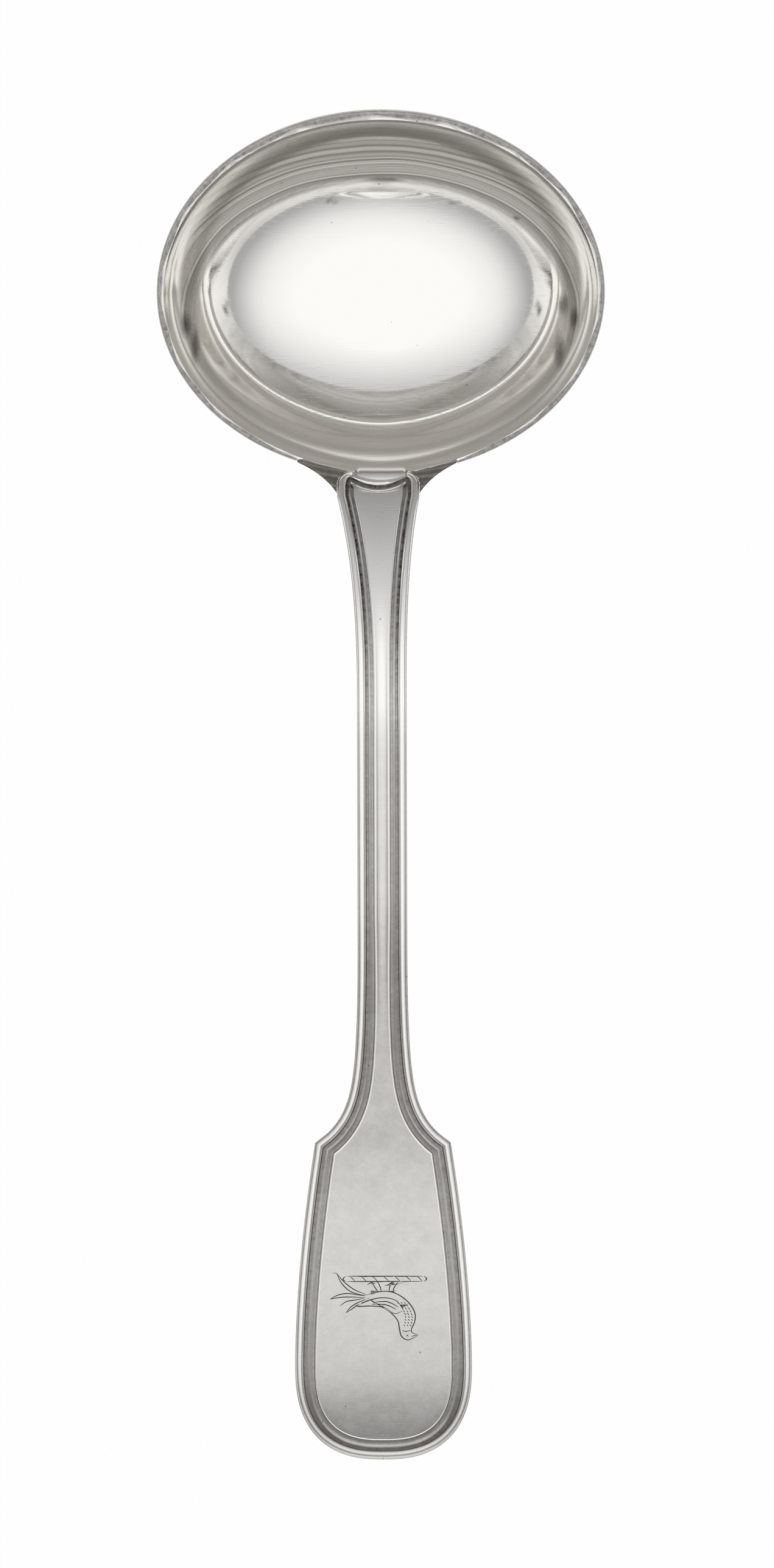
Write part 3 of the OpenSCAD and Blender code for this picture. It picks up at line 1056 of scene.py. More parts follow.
@dataclass
class Wings:
    """Two flat wings that join the lip to the stem, in millimetres.

    The free edge leaves the lip at `reach` from the middle, bends at `turn`, and meets the
    stem at `drop` from the bowl, where the wing stands `rise` above the plane of the lip.
    """

    bowl: Bowl
    handle: Handle
    reach: float = 10.6
    turn: float = 6.8
    drop: float = 2.5
    rise: float = 1.9
    thickness: float = 2.6
    root: float = 5.2
    edge: float = 0.4
    dish: float = 0.25
    sink: float = 0.02
    bite: float = 0.15
    # Share of grey painted shade on the wings.
    film_and_painted_shade: float = 1.0
    rows: int = 40
    columns: int = 20

    def edge_line(self, u: float) -> Point:
        """Point on the wing's free edge, in the plane of the lip.

        Args:
            u: Share of the way from the lip to the stem.

        Returns:
            The point.
        """
        a, b = self.bowl.half_width, self.bowl.half_length
        start = (self.reach, -b * math.sqrt(1 - (self.reach / a) ** 2))
        bend = (self.turn, -b)
        end = (self.handle.neck_width / 2 - self.bite, -b - self.drop)
        weights = ((1 - u) ** 2, 2 * u * (1 - u), u * u)
        x = sum(w * p[0] for w, p in zip(weights, (start, bend, end)))
        y = sum(w * p[1] for w, p in zip(weights, (start, bend, end)))
        return x, y

    def seat_line(self, u: float) -> Point:
        """Point where the wing sits inside the bowl's lip, running under the stem's end.

        Args:
            u: Share of the way from the lip to the stem.

        Returns:
            The point.
        """
        x = self.edge_line(u)[0] * (1 - u * u)
        a, b = self.bowl.half_width, self.bowl.half_length
        return x, -b * math.sqrt(1 - (x / a) ** 2) + self.bowl.lip_width

    def place(self, u: float, v: float, face: Face, hand: int) -> Place:
        """Point of a wing, in the plane of the lip.

        Args:
            u: Share of the way from the lip to the stem.
            v: Share of the way from the bowl to the free edge.
            face: Top or underside.
            hand: 1 on the right and -1 on the left.

        Returns:
            The place of the point.
        """
        (seat_x, seat_y), (edge_x, edge_y) = self.seat_line(u), self.edge_line(u)
        x, y = seat_x + v * (edge_x - seat_x), seat_y + v * (edge_y - seat_y)
        inner = self.bowl.lip_width + u * (self.root - self.bowl.lip_width)
        outer = self.bowl.lip_width + u * (self.thickness - self.bowl.lip_width)
        top = v * u * self.rise - self.sink
        across = math.hypot(edge_x - seat_x, edge_y - seat_y)
        near_edge = clamp(1 - (1 - v) * across / self.edge)
        round_off = self.edge * (1 - math.sqrt(1 - near_edge ** 2))
        if face is Face.TOP:
            return hand * x, y, top - self.dish * u * math.sin(math.pi * v) - round_off
        thick = inner + v * (outer - inner)
        return hand * x, y, top - thick + round_off

    def wing(self, hand: int) -> Piece:
        """Make one wing as a closed solid.

        Args:
            hand: 1 on the right and -1 on the left.

        Returns:
            The wing.
        """
        sheets = []
        for face in Face:
            bpy.ops.mesh.primitive_grid_add(
                x_subdivisions=self.columns, y_subdivisions=self.rows, size=1
            )
            sheet = named("wing")
            for point in sheet.data.vertices:
                point.co = self.place(0.5 - point.co.y, 0.5 + point.co.x, face, hand)
            sheets.append(sheet)
        piece = join_pieces(sheets)
        edit(piece)
        bpy.ops.mesh.select_mode(type="EDGE")
        bpy.ops.mesh.select_non_manifold(extend=False)
        bpy.ops.mesh.bridge_edge_loops()
        done()
        weld(piece)
        self.bowl.place(piece, self.handle.centre_x(self.handle.root_y))
        # Painted shade: the wings are darkened and greyed all over, standing in for the grey that
        # their faces reflect.
        PATINA_AND_SHADE.set_all(piece, PATINA_AND_SHADE.attribute, PATINA_AND_SHADE.corner)
        PATINA_AND_SHADE.set_all(piece, PATINA_AND_SHADE.film_and_shade_attribute, self.film_and_painted_shade)
        return piece

    def build(self) -> list[Piece]:
        """Make both wings."""
        return [self.wing(1), self.wing(-1)]


@dataclass
class Heel:
    """Rounded heel that carries the underside of the stem onto the bowl, in millimetres."""

    bowl: Bowl
    handle: Handle
    width: float = 9.8
    radius: float = 1.8
    start: float = 12
    end: float = 44
    flatten: float = 0.55
    narrow: float = 0.8
    proud: float = 0.12
    steps: int = 14
    sides: int = 32

    def wall_point(self, angle: float, out: float) -> Point:
        """Place and height of a point by the bowl's outside, at an angle below the lip.

        Args:
            angle: Angle below the lip, in degrees.
            out: Distance outside the bowl.

        Returns:
            Place along the ladle and height above the table.
        """
        y = -(self.bowl.half_length + out) * cos_deg(angle)
        z = -(self.bowl.depth + out) * sin_deg(angle)
        tilt = self.bowl.tilt
        return (
            self.bowl.centre_y + y * cos_deg(tilt) - z * sin_deg(tilt),
            self.bowl.centre_z + y * sin_deg(tilt) + z * cos_deg(tilt),
        )

    def sections(self) -> list[tuple[float, float, float, float]]:
        """Place, height, half width and radius of each section of the heel.

        Returns:
            The sections. The first is inside the stem. The others lie along the bowl's
            outside, and grow smaller and less proud of it.
        """
        stem_y = self.handle.root_y - 1.2 * self.handle.root_thickness
        small = 0.3 * self.handle.root_thickness
        stem_z = self.handle.spine(stem_y) - self.handle.root_thickness / 4
        found = [(stem_y, stem_z, self.width / 2, small)]
        for i in range(self.steps + 1):
            u = i / self.steps
            radius = self.radius * (1 - self.flatten * u)
            proud = 0.9 * self.radius * (1 - u) ** 1.5 + self.proud
            y, z = self.wall_point(self.start + u * (self.end - self.start), proud - radius)
            found.append((y, z, self.width / 2 * math.sqrt(1 - self.narrow * u * u), radius))
        return found

    def build(self) -> Piece:
        """Loft the heel: one section is extruded from place to place and resized.

        Returns:
            The heel, as one closed solid.
        """
        sections = self.sections()
        bpy.ops.mesh.primitive_circle_add(vertices=self.sides, radius=1, fill_type="NGON")
        piece = named("heel")
        edit(piece, "SELECT")
        for _ in sections[1:]:
            bpy.ops.mesh.extrude_region_move(TRANSFORM_OT_translate={"value": (0, 0, 1)})
        done()
        for point in piece.data.vertices:
            number = round(point.co.z)
            y, z, half, radius = sections[number]
            before = sections[max(number - 1, 0)]
            after = sections[min(number + 1, len(sections) - 1)]
            along = Vector((after[0] - before[0], after[1] - before[1])).normalized()
            out = Vector((-along.y, along.x))
            lift = point.co.y * radius
            point.co = (
                self.handle.centre_x(self.handle.root_y) + point.co.x * half,
                y + out.x * lift, z + out.y * lift,
            )
        weld(piece)
        PATINA_AND_SHADE.set_all(piece, PATINA_AND_SHADE.attribute, PATINA_AND_SHADE.clean)
        PATINA_AND_SHADE.set_all(piece, PATINA_AND_SHADE.film_and_shade_attribute, -self.bowl.outer_film)
        return piece


@dataclass
class Crest:
    """Bird standing on a twisted bar, engraved on the handle's flat end, in millimetres.

    Each stroke is a list of points from the crest's middle. `bar` gives the bar's left and
    right ends, and then the places of its two edges along the ladle. The bird's head is
    towards the handle's tip.
    """

    centre: Point = (-0.85, -68.3)
    bar: tuple[float, float, float, float] = (-4.1, 6.2, 3.35, 4.05)
    twists: int = 7
    depth: float = 0.13
    stand: float = 0.04
    steps: int = 7
    thin_cut: float = 0.13
    bold_cut: float = 0.19
    outline_cut: float = 0.24
    hatch_start: Point = (4.55, -2.6)
    hatch_bow: float = 0.3
    hatch_height: float = 3.0
    hatch_gap: float = 0.42
    hatch_slant: float = 0.75
    hatch_dash: tuple[Point, ...] = ((0.0, 0.0), (-0.12, 0.1), (-0.2, 0.24))
    hatch_rows: int = 9
    hatch_columns: int = 3
    ray_height: float = 60.0
    back: tuple[Point, ...] = (
        (-1.5, 1.3), (0.1, 0.35), (1.7, -0.7), (2.7, -1.8), (2.95, -2.9), (3.2, -3.9), (3.9, -4.4),
        (4.6, -4.25), (5.5, -3.75),
    )
    breast: tuple[Point, ...] = (
        (5.5, -3.75), (4.8, -3.55), (4.5, -3.1), (4.95, -2.0), (5.0, -0.9), (4.3, 0.4), (3.0, 1.5),
        (1.5, 2.05), (-0.3, 1.9), (-1.5, 1.5),
    )
    wing: tuple[Point, ...] = (
        (3.5, -0.5), (2.6, 0.75), (1.0, 1.2), (-0.9, 0.9), (-2.6, 0.1), (-0.7, 0.1), (0.9, -0.1),
        (2.3, -0.9), (3.5, -0.5),
    )
    feathers: tuple[tuple[Point, ...], ...] = (
        ((2.9, -0.1), (1.4, 0.65), (-0.5, 0.6)), ((2.6, -0.4), (1.2, 0.25), (-0.8, 0.35)),
        ((-1.3, 1.6), (-3.0, 2.3), (-4.4, 3.4), (-5.3, 4.5)),
        ((-1.4, 1.45), (-3.4, 2.0), (-4.6, 3.1), (-5.3, 4.5)),
        ((-1.5, 1.4), (-3.6, 1.75), (-5.0, 1.6), (-6.2, 1.0)),
        ((-1.5, 1.2), (-3.4, 1.3), (-4.9, 1.25), (-6.2, 1.0)),
        ((-1.5, 1.15), (-2.9, 0.9), (-4.0, 0.7), (-4.9, 0.1)),
        ((-1.4, 1.0), (-2.5, 0.55), (-3.4, 0.0), (-4.1, -0.8)),
        ((-1.9, 0.55), (-2.6, 0.2), (-3.3, -0.3), (-4.1, -0.8)),
    )
    legs: tuple[tuple[Point, ...], ...] = (
        ((0.2, 1.9), (-0.2, 2.5), (-0.7, 3.3)), ((0.6, 2.0), (0.4, 2.7), (0.1, 3.3)),
        ((1.6, 2.0), (1.7, 2.7), (2.0, 3.3)), ((2.1, 1.9), (2.3, 2.6), (2.8, 3.3)),
        ((-1.3, 2.9), (-0.7, 3.2), (-0.2, 3.0)), ((1.5, 2.9), (2.0, 3.2), (2.5, 2.9)),
    )
    head: tuple[tuple[Point, ...], ...] = (
        ((3.85, -3.95), (4.0, -3.8), (4.1, -3.95)), ((3.3, -3.1), (3.8, -3.3), (4.4, -3.1)),
        ((4.5, -4.0), (4.9, -3.85), (5.3, -3.8)),
    )

    def hatching(self) -> list[list[Point]]:
        """Short rows of dashes that shade the neck and the breast.

        Returns:
            The points of each dash.
        """
        dashes = []
        for row in range(self.hatch_rows):
            share = row / (self.hatch_rows - 1)
            x = self.hatch_start[0] + self.hatch_bow * math.sin(math.pi * share)
            y = self.hatch_start[1] + self.hatch_height * share
            for column in range(self.hatch_columns):
                left = x - self.hatch_gap * column - self.hatch_slant * share ** 2
                dashes.append([(left + aside, y + along) for aside, along in self.hatch_dash])
        return dashes

    def bar_outline(self) -> list[list[Point]]:
        """Long edges and rounded ends of the twisted bar.

        Returns:
            The points of each stroke.
        """
        left, right, low, high = self.bar
        round_end = (high - low) / 2
        return [
            [(left, low), (0.0, low), (right, low)], [(left, high), (0.0, high), (right, high)],
            [(left, low), (left - round_end, low + round_end), (left, high)],
            [(right, low), (right + round_end, low + round_end), (right, high)],
        ]

    def bar_twist(self) -> list[list[Point]]:
        """Slanting lines of the twist of the bar.

        Returns:
            The points of each stroke.
        """
        left, right, low, high = self.bar
        pitch = (right - left) / self.twists
        starts = [left + pitch * (turn + 0.35) for turn in range(self.twists)]
        return [
            [(x, high), (x + 0.3 * pitch, (low + high) / 2), (x + 0.5 * pitch, low)]
            for x in starts
        ]

    def smooth(self, points: Sequence[Point]) -> list[Point]:
        """Carry a smooth curve through points.

        Args:
            points: Points of the stroke.

        Returns:
            Closely spaced points of the curve.
        """
        ends = [points[0], *points, points[-1]]
        curve = []
        for before, start, end, after in zip(ends, ends[1:], ends[2:], ends[3:]):
            for step in range(self.steps):
                t = step / self.steps
                curve.append(tuple(
                    0.5 * (2 * b + (c - a) * t + (2 * a - 5 * b + 4 * c - d) * t ** 2
                           + (3 * b - a - 3 * c + d) * t ** 3)
                    for a, b, c, d in zip(before, start, end, after)
                ))
        return [*curve, points[-1]]

    def stroke(self, surface: Piece, points: Sequence[Point], width: float) -> Piece:
        """Cutter of one stroke: a V that swells from a point and back to a point.

        Args:
            surface: Piece that is engraved.
            points: Points of the stroke.
            width: Its greatest width.

        Returns:
            The closed cutter.
        """
        curve = self.smooth(points)
        last = len(curve) - 1
        bpy.ops.mesh.primitive_grid_add(x_subdivisions=3, y_subdivisions=last, size=1)
        piece = bpy.context.object
        for point in piece.data.vertices:
            row, column = round((0.5 - point.co.y) * last), round((0.5 + point.co.x) * 3)
            (x0, y0), (x1, y1) = curve[max(row - 1, 0)], curve[min(row + 1, last)]
            length = math.hypot(x1 - x0, y1 - y0)
            swell = math.sin(math.pi * clamp(row / last)) ** 0.5
            side = (-1, 0, 1, -1)[column] * width / 2 * swell
            x = self.centre[0] + curve[row][0] + side * (y1 - y0) / length
            y = self.centre[1] + curve[row][1] - side * (x1 - x0) / length
            top = surface.ray_cast((x, y, self.ray_height), (0.0, 0.0, -1.0))[1].z
            rise = -self.depth if column == 1 else self.stand
            point.co = (x, y, top + rise * swell)
        PATINA_AND_SHADE.set_all(piece, PATINA_AND_SHADE.attribute, PATINA_AND_SHADE.engraving)
        weld(piece)
        return piece

    def engrave(self, surface: Piece) -> None:
        """Cut the crest into a piece.

        Args:
            surface: The ladle, whose flat end is engraved.
        """
        cutters = []
        for width, lines in (
            (self.thin_cut, [*self.hatching(), *self.bar_twist(), *self.head]),
            (self.bold_cut, [*self.feathers, *self.legs, *self.bar_outline()]),
            (self.outline_cut, [self.back, self.breast, self.wing]),
        ):
            cutters += [self.stroke(surface, points, width) for points in lines]
        combine(surface, join_pieces(cutters), Join.CUT)


@dataclass(frozen=True)
class OldSilver:
    """Sterling silver, rolled, forged and polished, then aged by a century of use.

    It is a faintly warm white mirror. Fine scratches lie in all directions. A grey painted shade
    stands in for darker reflections on the handle, the bowl's wall and the wings, and is left off
    the crests as painted highlight, while the outside of the bowl is dulled by wear. Dark brown
    sulphide stays in the grooves and the engraving, which a cloth can't reach, and the same brown
    is painted shade on the steep edges, the lip's outer edge, the wings and spots in the bowl.
    `painted_shade_share` gives the painted shade at places along the ladle. Lengths and places are
    in millimetres.
    """

    name: str = "sterling silver, polished and worn"
    colour: str = "#F8F7F4"
    # Grey of the painted shade, and of the dull wear outside the bowl.
    film_and_painted_shade: str = "#8A8681"
    # Brown of the real sulphide, also used as painted shade through the tarnish attribute.
    sulphide: str = "#33291F"
    bowl_roughness: float = 0.05
    bowl_middle: float = 62.3
    bowl_stretch: float = 1.385
    streak_waver: float = 1.2
    handle_roughness: float = 0.17
    film_roughness: float = 0.33
    sulphide_roughness: float = 0.3
    handle_end: Point = (43.0, 40.8)
    wiped_places: Point = (6.0, 24.0)
    wiped_shares: Point = (0.78, 1.15)
    pitted: float = 0.14
    peel_depth: float = 0.007
    scratch_depth: float = 0.003
    scratch_turns: tuple[float, ...] = (25.0, -48.0, 82.0, 5.0)
    # Painted shade: the grey along the handle stands in for the darker reflections that it shows.
    painted_shade_share: tuple[Point, ...] = (
        (-88.0, 0.45), (-85.5, 0.62), (-82.5, 0.62), (-80.0, 0.52), (-77.5, 0.42),
        (-56.0, 0.44), (-51.0, 0.5), (-46.0, 0.58), (-25.0, 0.58), (-18.0, 0.48),
        (-15.0, 0.36), (1.5, 0.33), (6.0, 0.27), (8.5, 0.14), (11.0, 0.0), (41.0, 0.0),
    )

    def make(self) -> bpy.types.Material:
        """Build the material.

        Returns:
            The material.
        """
        material = bpy.data.materials.new(self.name)
        material.use_nodes = True
        tree = material.node_tree
        tree.nodes.clear()
        place = node(tree, "ShaderNodeTexCoord").outputs["Object"]
        parts = node(tree, "ShaderNodeSeparateXYZ", {"Vector": place})
        tarnish = node(tree, "ShaderNodeAttribute", attribute_name=PATINA_AND_SHADE.attribute)
        on_handle = node(tree, "ShaderNodeMapRange", {
            "Value": parts.outputs["Y"], "From Min": self.handle_end[0] * MILLIMETRE,
            "From Max": self.handle_end[1] * MILLIMETRE,
        })
        # The grey painted shade of the handle, the bowl's wall and the wings, and the dull wear
        # outside the bowl.
        share = self.painted_shade_on(tree, place, parts.outputs["Y"], tarnish.outputs["Fac"])
        wall = self.painted_reflection_and_wear_in_bowl(tree, place)
        share = node(tree, "ShaderNodeMath", {0: share, 1: wall}, operation="MAXIMUM").outputs[0]
        filmed_and_shaded = node(tree, "ShaderNodeMix", {
            "Factor": share, "A": linear(self.colour), "B": linear(self.film_and_painted_shade),
        }, data_type="RGBA")
        # Hands wipe the handle, so its grooves are paler than those of the neck.
        wiped = node(tree, "ShaderNodeMapRange", {
            "Value": parts.outputs["Y"], "From Min": self.wiped_places[0] * MILLIMETRE,
            "From Max": self.wiped_places[1] * MILLIMETRE,
            "To Min": self.wiped_shares[0], "To Max": self.wiped_shares[1],
        })
        kept = node(tree, "ShaderNodeMath", {0: tarnish.outputs["Fac"], 1: wiped.outputs[0]},
                    operation="MULTIPLY")
        dark = self.sulphide_and_shade_on(tree, place, kept.outputs[0])
        colour = node(tree, "ShaderNodeMix", {
            "Factor": dark, "A": filmed_and_shaded.outputs["Result"], "B": linear(self.sulphide),
        }, data_type="RGBA")
        rough = node(tree, "ShaderNodeMapRange", {
            "Value": on_handle.outputs["Result"],
            "To Min": self.bowl_roughness, "To Max": self.handle_roughness,
        })
        rougher = node(tree, "ShaderNodeMath", {
            0: dark, 1: self.sulphide_roughness, 2: rough.outputs["Result"],
        }, operation="MULTIPLY_ADD")
        rougher = node(tree, "ShaderNodeMath", {
            0: wall, 1: self.film_roughness, 2: rougher.outputs[0],
        }, operation="MULTIPLY_ADD")
        shader = node(tree, "ShaderNodeBsdfPrincipled", {
            "Base Color": colour.outputs["Result"], "Metallic": 1.0,
            "Roughness": rougher.outputs[0],
            "Normal": self.surface(tree, place, on_handle.outputs["Result"]),
        })
        node(tree, "ShaderNodeOutputMaterial", {"Surface": shader.outputs["BSDF"]})
        return material

    def painted_shade_on(self, tree: Tree, place: Socket, along: Socket, tarnish: Socket) -> Socket:
        """Share of grey painted shade, standing in for darker reflections along the handle: it is
        mottled, and is left off the crests and bevels as painted highlight.

        Args:
            tree: Tree that the nodes are added to.
            place: Place on the object.
            along: Place along the ladle.
            tarnish: Share of tarnish, below 0 where the painted shade is left off, as painted
                highlight.

        Returns:
            The share.
        """
        first, last = self.painted_shade_share[0][0], self.painted_shade_share[-1][0]
        ramp = node(tree, "ShaderNodeValToRGB", {"Fac": node(tree, "ShaderNodeMapRange", {
            "Value": along, "From Min": first * MILLIMETRE, "From Max": last * MILLIMETRE,
        }).outputs["Result"]})
        set_stops(ramp, [((y - first) / (last - first), value) for y, value in self.painted_shade_share])
        # The painted shade is mottled 2.4 mm across, with finer cloud in it.
        mottle = node(tree, "ShaderNodeTexNoise", {
            "Vector": place, "Scale": 420.0, "Detail": 9.0, "Roughness": 0.8,
        })
        spread = node(tree, "ShaderNodeMapRange", {
            "Value": mottle.outputs["Fac"], "From Min": 0.3, "From Max": 0.7,
            "To Min": 0.82, "To Max": 1.18,
        })
        rubbed_and_unshaded = node(tree, "ShaderNodeMapRange", {
            "Value": tarnish, "From Min": -1.0, "From Max": 0.0,
        })
        worn_and_painted_shade = node(tree, "ShaderNodeMath", {0: ramp.outputs["Color"], 1: spread.outputs[0]},
                    operation="MULTIPLY")
        return node(tree, "ShaderNodeMath", {0: worn_and_painted_shade.outputs[0], 1: rubbed_and_unshaded.outputs[0]},
                    operation="MULTIPLY", use_clamp=True).outputs[0]

    def painted_reflection_and_wear_in_bowl(self, tree: Tree, place: Socket) -> Socket:
        """Share of painted shade on the bowl's wall and the wings, standing in for reflections, in
        fine streaks round the bowl.

        Shares below 0 are dull wear on the outside of the bowl, which has no streaks.

        Args:
            tree: Tree that the nodes are added to.
            place: Place on the object.

        Returns:
            The share.
        """
        film_and_painted_shade = node(tree, "ShaderNodeAttribute", attribute_name=PATINA_AND_SHADE.film_and_shade_attribute)
        # The streaks are ovals round the middle of the bowl, as seen from above.
        shift = -self.bowl_middle * MILLIMETRE * self.bowl_stretch
        middle = node(tree, "ShaderNodeMapping", {
            "Vector": place, "Location": (0.0, shift, 0.0),
            "Scale": (1.0, self.bowl_stretch, 0.0),
        })
        radius = node(tree, "ShaderNodeVectorMath", {0: middle.outputs[0]}, operation="LENGTH")
        # They are 0.6 mm wide, and waver over stretches of 17 mm.
        waver = node(tree, "ShaderNodeTexNoise", {"Vector": place, "Scale": 60.0, "Detail": 2.0})
        turned = node(tree, "ShaderNodeMath", {
            0: waver.outputs["Fac"], 1: self.streak_waver * MILLIMETRE,
            2: radius.outputs["Value"],
        }, operation="MULTIPLY_ADD")
        streaks = node(tree, "ShaderNodeTexNoise", {
            "W": turned.outputs[0], "Scale": 1700.0, "Detail": 4.0, "Roughness": 0.7,
        }, noise_dimensions="1D")
        spread = node(tree, "ShaderNodeMapRange", {
            "Value": streaks.outputs["Fac"], "From Min": 0.3, "From Max": 0.7,
            "To Min": 0.6, "To Max": 1.3,
        })
        inside = node(tree, "ShaderNodeMath", {0: film_and_painted_shade.outputs["Fac"], 1: spread.outputs[0]},
                      operation="MULTIPLY")
        outside = node(tree, "ShaderNodeMath", {0: film_and_painted_shade.outputs["Fac"], 1: -1.0},
                       operation="MULTIPLY")
        return node(tree, "ShaderNodeMath", {0: inside.outputs[0], 1: outside.outputs[0]},
                    operation="MAXIMUM", use_clamp=True).outputs[0]

    def sulphide_and_shade_on(self, tree: Tree, place: Socket, tarnish: Socket) -> Socket:
        """Share of dark brown: the tarnish with the painted shade that it carries, made uneven by
        brushing, and rare pits.

        Args:
            tree: Tree that the nodes are added to.
            place: Place on the object.
            tarnish: Share of tarnish.

        Returns:
            The share.
        """
        # Sulphide is uneven 0.7 mm across, coarser than bristles are, so that it shows.
        patches = node(tree, "ShaderNodeTexNoise", {
            "Vector": place, "Scale": 1500.0, "Detail": 5.0, "Roughness": 0.7,
        })
        uneven = node(tree, "ShaderNodeMapRange", {
            "Value": patches.outputs["Fac"], "From Min": 0.3, "From Max": 0.7,
            "To Min": 0.8, "To Max": 1.2,
        })
        # The pits are 0.2 mm across, and stand in a few of the cells, which are 1.6 mm wide.
        pits = node(tree, "ShaderNodeTexVoronoi", {"Vector": place, "Scale": 620.0})
        rare = node(tree, "ShaderNodeSeparateXYZ", {"Vector": pits.outputs["Color"]})
        chosen = node(tree, "ShaderNodeMath", {0: rare.outputs["X"], 1: 1 - self.pitted},
                      operation="GREATER_THAN")
        pit = node(tree, "ShaderNodeMapRange", {
            "Value": pits.outputs["Distance"], "From Min": 0.1, "From Max": 0.05, "To Max": 0.55,
        })
        specks = node(tree, "ShaderNodeMath", {0: pit.outputs[0], 1: chosen.outputs[0]},
                      operation="MULTIPLY")
        return node(tree, "ShaderNodeMath", {
            0: tarnish, 1: uneven.outputs[0], 2: specks.outputs[0],
        }, operation="MULTIPLY_ADD", use_clamp=True).outputs[0]

    def surface(self, tree: Tree, place: Socket, on_handle: Socket) -> Socket:
        """Fine relief: orange peel 0.17 mm across on the handle, and scratches all over.

        Args:
            tree: Tree that the nodes are added to.
            place: Place on the object.
            on_handle: 1 on the handle and 0 in the bowl.

        Returns:
            The normal.
        """
        peel = node(tree, "ShaderNodeTexNoise", {
            "Vector": place, "Scale": 6000.0, "Detail": 2.0,
        })
        depth = node(tree, "ShaderNodeMapRange", {
            "Value": on_handle, "To Min": 0.1, "To Max": 1.0,
        })
        grain = node(tree, "ShaderNodeBump", {
            "Height": peel.outputs["Fac"], "Strength": depth.outputs[0],
            "Distance": self.peel_depth * MILLIMETRE,
        })
        normal = grain.outputs["Normal"]
        # Scratches are 9 mm long and 0.2 mm wide, coarser than real ones, so that they show.
        for number, turn in enumerate(self.scratch_turns):
            lines = node(tree, "ShaderNodeMapping", {
                "Vector": place, "Rotation": (0, 0, math.radians(turn)),
                "Scale": (110.0, 5200.0, 900.0), "Location": (7.0 * number, 3.0, 0),
            })
            noise = node(tree, "ShaderNodeTexNoise", {
                "Vector": lines.outputs[0], "Scale": 1.0, "Detail": 1.0,
            })
            scratch = node(tree, "ShaderNodeMapRange", {
                "Value": noise.outputs["Fac"], "From Min": 0.66, "From Max": 0.74,
            })
            normal = node(tree, "ShaderNodeBump", {
                "Height": scratch.outputs[0], "Strength": 0.6,
                "Distance": self.scratch_depth * MILLIMETRE, "Normal": normal,
            }, invert=True).outputs["Normal"]
        return normal


@dataclass
class Ladle:
    """The whole ladle: bowl, handle, wings and heel in one piece of silver."""

    bowl: Bowl = field(default_factory=Bowl)
    smooth_angle: float = 34.0

    def build(self) -> Piece:
        """Fuse the parts, cut the hollow and dress the piece.

        Returns:
            The ladle, in metres and in its place.
        """
        handle = Handle(self.bowl)
        piece = self.bowl.body()
        wings = Wings(self.bowl, handle)
        heel = Heel(self.bowl, handle)
        for part in [handle.build(), *wings.build(), heel.build()]:
            combine(piece, part, Join.UNION)
        combine(piece, self.bowl.hollow(), Join.CUT)
        Crest().engrave(piece)
        piece.scale = (MILLIMETRE,) * 3
        settle(piece)
        bpy.ops.object.shade_smooth_by_angle(angle=math.radians(self.smooth_angle))
        piece.name = "silver_ladle"
        piece.data.materials.clear()
        piece.data.materials.append(OldSilver().make())
        return piece


@dataclass(frozen=True)
class LightTent:
    """Soft light of a tent over the table: white overhead and grey towards its foot.

    Each table gives the tent's grey at the sine of the height above the horizon: one for
    light from beyond the bowl, and one for light from every other side.
    """

    strength: float = 1.03
    round_about: tuple[Point, ...] = (
        (0.0, 0.30), (0.174, 0.35), (0.342, 0.42), (0.469, 0.63), (0.559, 0.79),
        (0.643, 0.89), (0.719, 0.94), (0.819, 1.0),
    )
    beyond_bowl: tuple[Point, ...] = (
        (0.05, 0.27), (0.122, 0.30), (0.208, 0.37), (0.292, 0.43), (0.391, 0.5),
        (0.485, 0.57), (0.588, 0.62), (0.682, 0.73), (0.755, 0.82), (0.819, 0.91),
        (0.866, 1.0),
    )

    def make(self) -> None:
        """Build the world: white for the camera, the tent for everything else."""
        world = bpy.data.worlds.new("light tent")
        bpy.context.scene.world = world
        world.use_nodes = True
        tree = world.node_tree
        tree.nodes.clear()
        place = node(tree, "ShaderNodeTexCoord")
        parts = node(tree, "ShaderNodeSeparateXYZ", {"Vector": place.outputs["Generated"]})
        flat = node(tree, "ShaderNodeCombineXYZ", {
            "X": parts.outputs["X"], "Y": parts.outputs["Y"],
        })
        unit = node(tree, "ShaderNodeVectorMath", {0: flat.outputs[0]}, operation="NORMALIZE")
        side = node(tree, "ShaderNodeSeparateXYZ", {"Vector": unit.outputs[0]})
        # The light from beyond the bowl fades into the other as the square of a cosine.
        ahead = node(tree, "ShaderNodeMath", {0: side.outputs["Y"], 1: 0.0}, operation="MAXIMUM")
        weight = node(tree, "ShaderNodeMath", {0: ahead.outputs[0], 1: 2.0}, operation="POWER")
        ramps = []
        for stops in (self.round_about, self.beyond_bowl):
            ramps.append(node(tree, "ShaderNodeValToRGB", {"Fac": parts.outputs["Z"]}))
            set_stops(ramps[-1], stops)
        both = node(tree, "ShaderNodeMix", {
            "Factor": weight.outputs[0], "A": ramps[0].outputs["Color"],
            "B": ramps[1].outputs["Color"],
        }, data_type="RGBA")
        rays = node(tree, "ShaderNodeLightPath")
        tent = node(tree, "ShaderNodeBackground", {
            "Color": both.outputs["Result"], "Strength": self.strength,
        })
        white = node(tree, "ShaderNodeBackground", {"Color": linear("#FFFFFF"), "Strength": 1.0})
        mixed = node(tree, "ShaderNodeMixShader", {
            0: rays.outputs["Is Camera Ray"], 1: tent.outputs[0], 2: white.outputs[0],
        })
        node(tree, "ShaderNodeOutputWorld", {"Surface": mixed.outputs[0]})


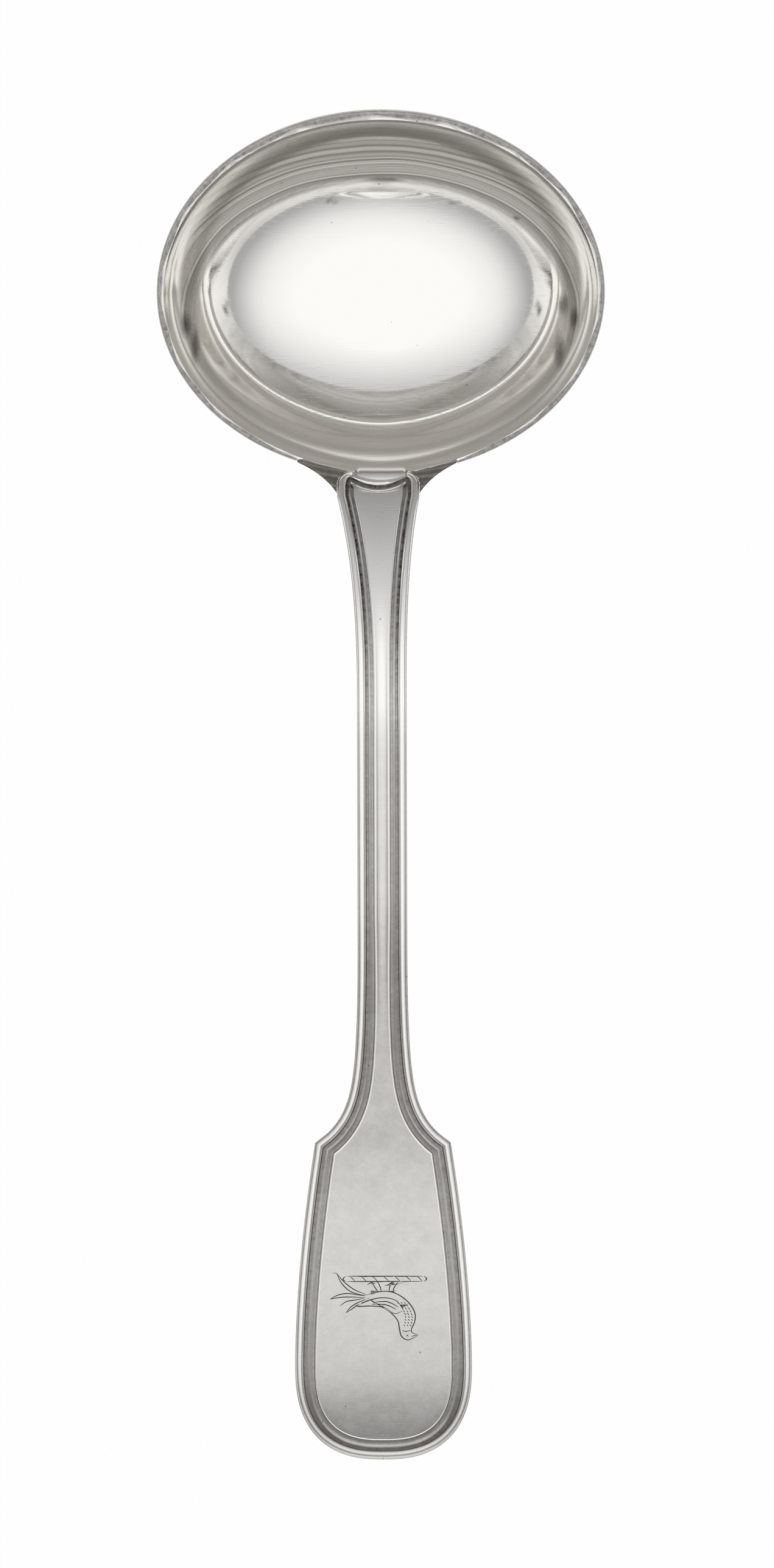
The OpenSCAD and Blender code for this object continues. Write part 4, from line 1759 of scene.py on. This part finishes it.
@dataclass(frozen=True)
class Table:
    """Plain table top under the ladle, of matt white laminate.

    Laminate scatters the light evenly and shows no gloss, so the eye sees bare white with
    a faint shadow. To the camera and in the silver most of that white is its own.
    """

    size: float = 80.0
    gap: float = 0.00002
    glow: float = 0.97

    def make(self) -> Piece:
        """Build the table top, which shows white and keeps a faint shadow.

        Returns:
            The table top.
        """
        bpy.ops.mesh.primitive_plane_add(size=self.size, location=(0, 0, -self.gap))
        floor = named("table_top")
        material = bpy.data.materials.new("matt white laminate")
        material.use_nodes = True
        tree = material.node_tree
        tree.nodes.clear()
        rays = node(tree, "ShaderNodeLightPath")
        seen = node(tree, "ShaderNodeMath", {
            0: rays.outputs["Is Camera Ray"], 1: rays.outputs["Is Glossy Ray"],
        }, operation="MAXIMUM")
        through = node(tree, "ShaderNodeMath", {
            0: seen.outputs[0], 1: rays.outputs["Is Transmission Ray"],
        }, operation="MAXIMUM")
        share = node(tree, "ShaderNodeMath", {0: through.outputs[0], 1: self.glow},
                     operation="MULTIPLY")
        paint = node(tree, "ShaderNodeBsdfDiffuse", {"Color": linear("#F7F7F7")})
        white = node(tree, "ShaderNodeEmission", {"Color": linear("#FFFFFF"), "Strength": 1.0})
        mixed = node(tree, "ShaderNodeMixShader", {
            0: share.outputs[0], 1: paint.outputs[0], 2: white.outputs[0],
        })
        node(tree, "ShaderNodeOutputMaterial", {"Surface": mixed.outputs[0]})
        floor.data.materials.append(material)
        return floor


@dataclass(frozen=True)
class StudioCamera:
    """Camera straight above the ladle, with a long lens from far away.

    It stands `distance` metres above the height `level`, over a point that is `aside` and
    `ahead` of the ladle's middle, both in millimetres.
    """

    distance: float = 2.5
    millimetres_per_pixel: float = 0.08
    level: float = 13.5
    aside: float = 0.65
    ahead: float = 0.44
    roll: float = -0.146
    sensor: float = 36.0

    def make(self) -> Piece:
        """Build the camera and make it the scene's own.

        Returns:
            The camera.
        """
        data = bpy.data.cameras.new("studio camera")
        camera = bpy.data.objects.new("studio camera", data)
        bpy.context.collection.objects.link(camera)
        shown = self.millimetres_per_pixel * IMAGE_HEIGHT * MILLIMETRE
        data.sensor_width = self.sensor
        data.lens = self.sensor * self.distance / shown
        data.clip_start, data.clip_end = 0.1, 1000
        camera.location = (
            self.aside * MILLIMETRE, self.ahead * MILLIMETRE,
            self.distance + self.level * MILLIMETRE,
        )
        camera.rotation_euler = (0, 0, math.radians(self.roll))
        bpy.context.scene.camera = camera
        return camera


def main() -> None:
    """Build the ladle, its table, its light and its camera."""
    logging.basicConfig(level=logging.INFO, format="%(message)s")
    log = logging.getLogger("ladle")
    bpy.ops.object.select_all(action="DESELECT")
    scene = bpy.context.scene
    scene.view_settings.view_transform = "Standard"
    piece = Ladle().build()
    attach(piece, "root")
    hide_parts("ladle")
    piece.data.calc_loop_triangles()
    log.info("%s: %d triangles", piece.name, len(piece.data.loop_triangles))
    LightTent().make()
    Table().make()
    StudioCamera().make()


if __name__ == "__main__":
    main()
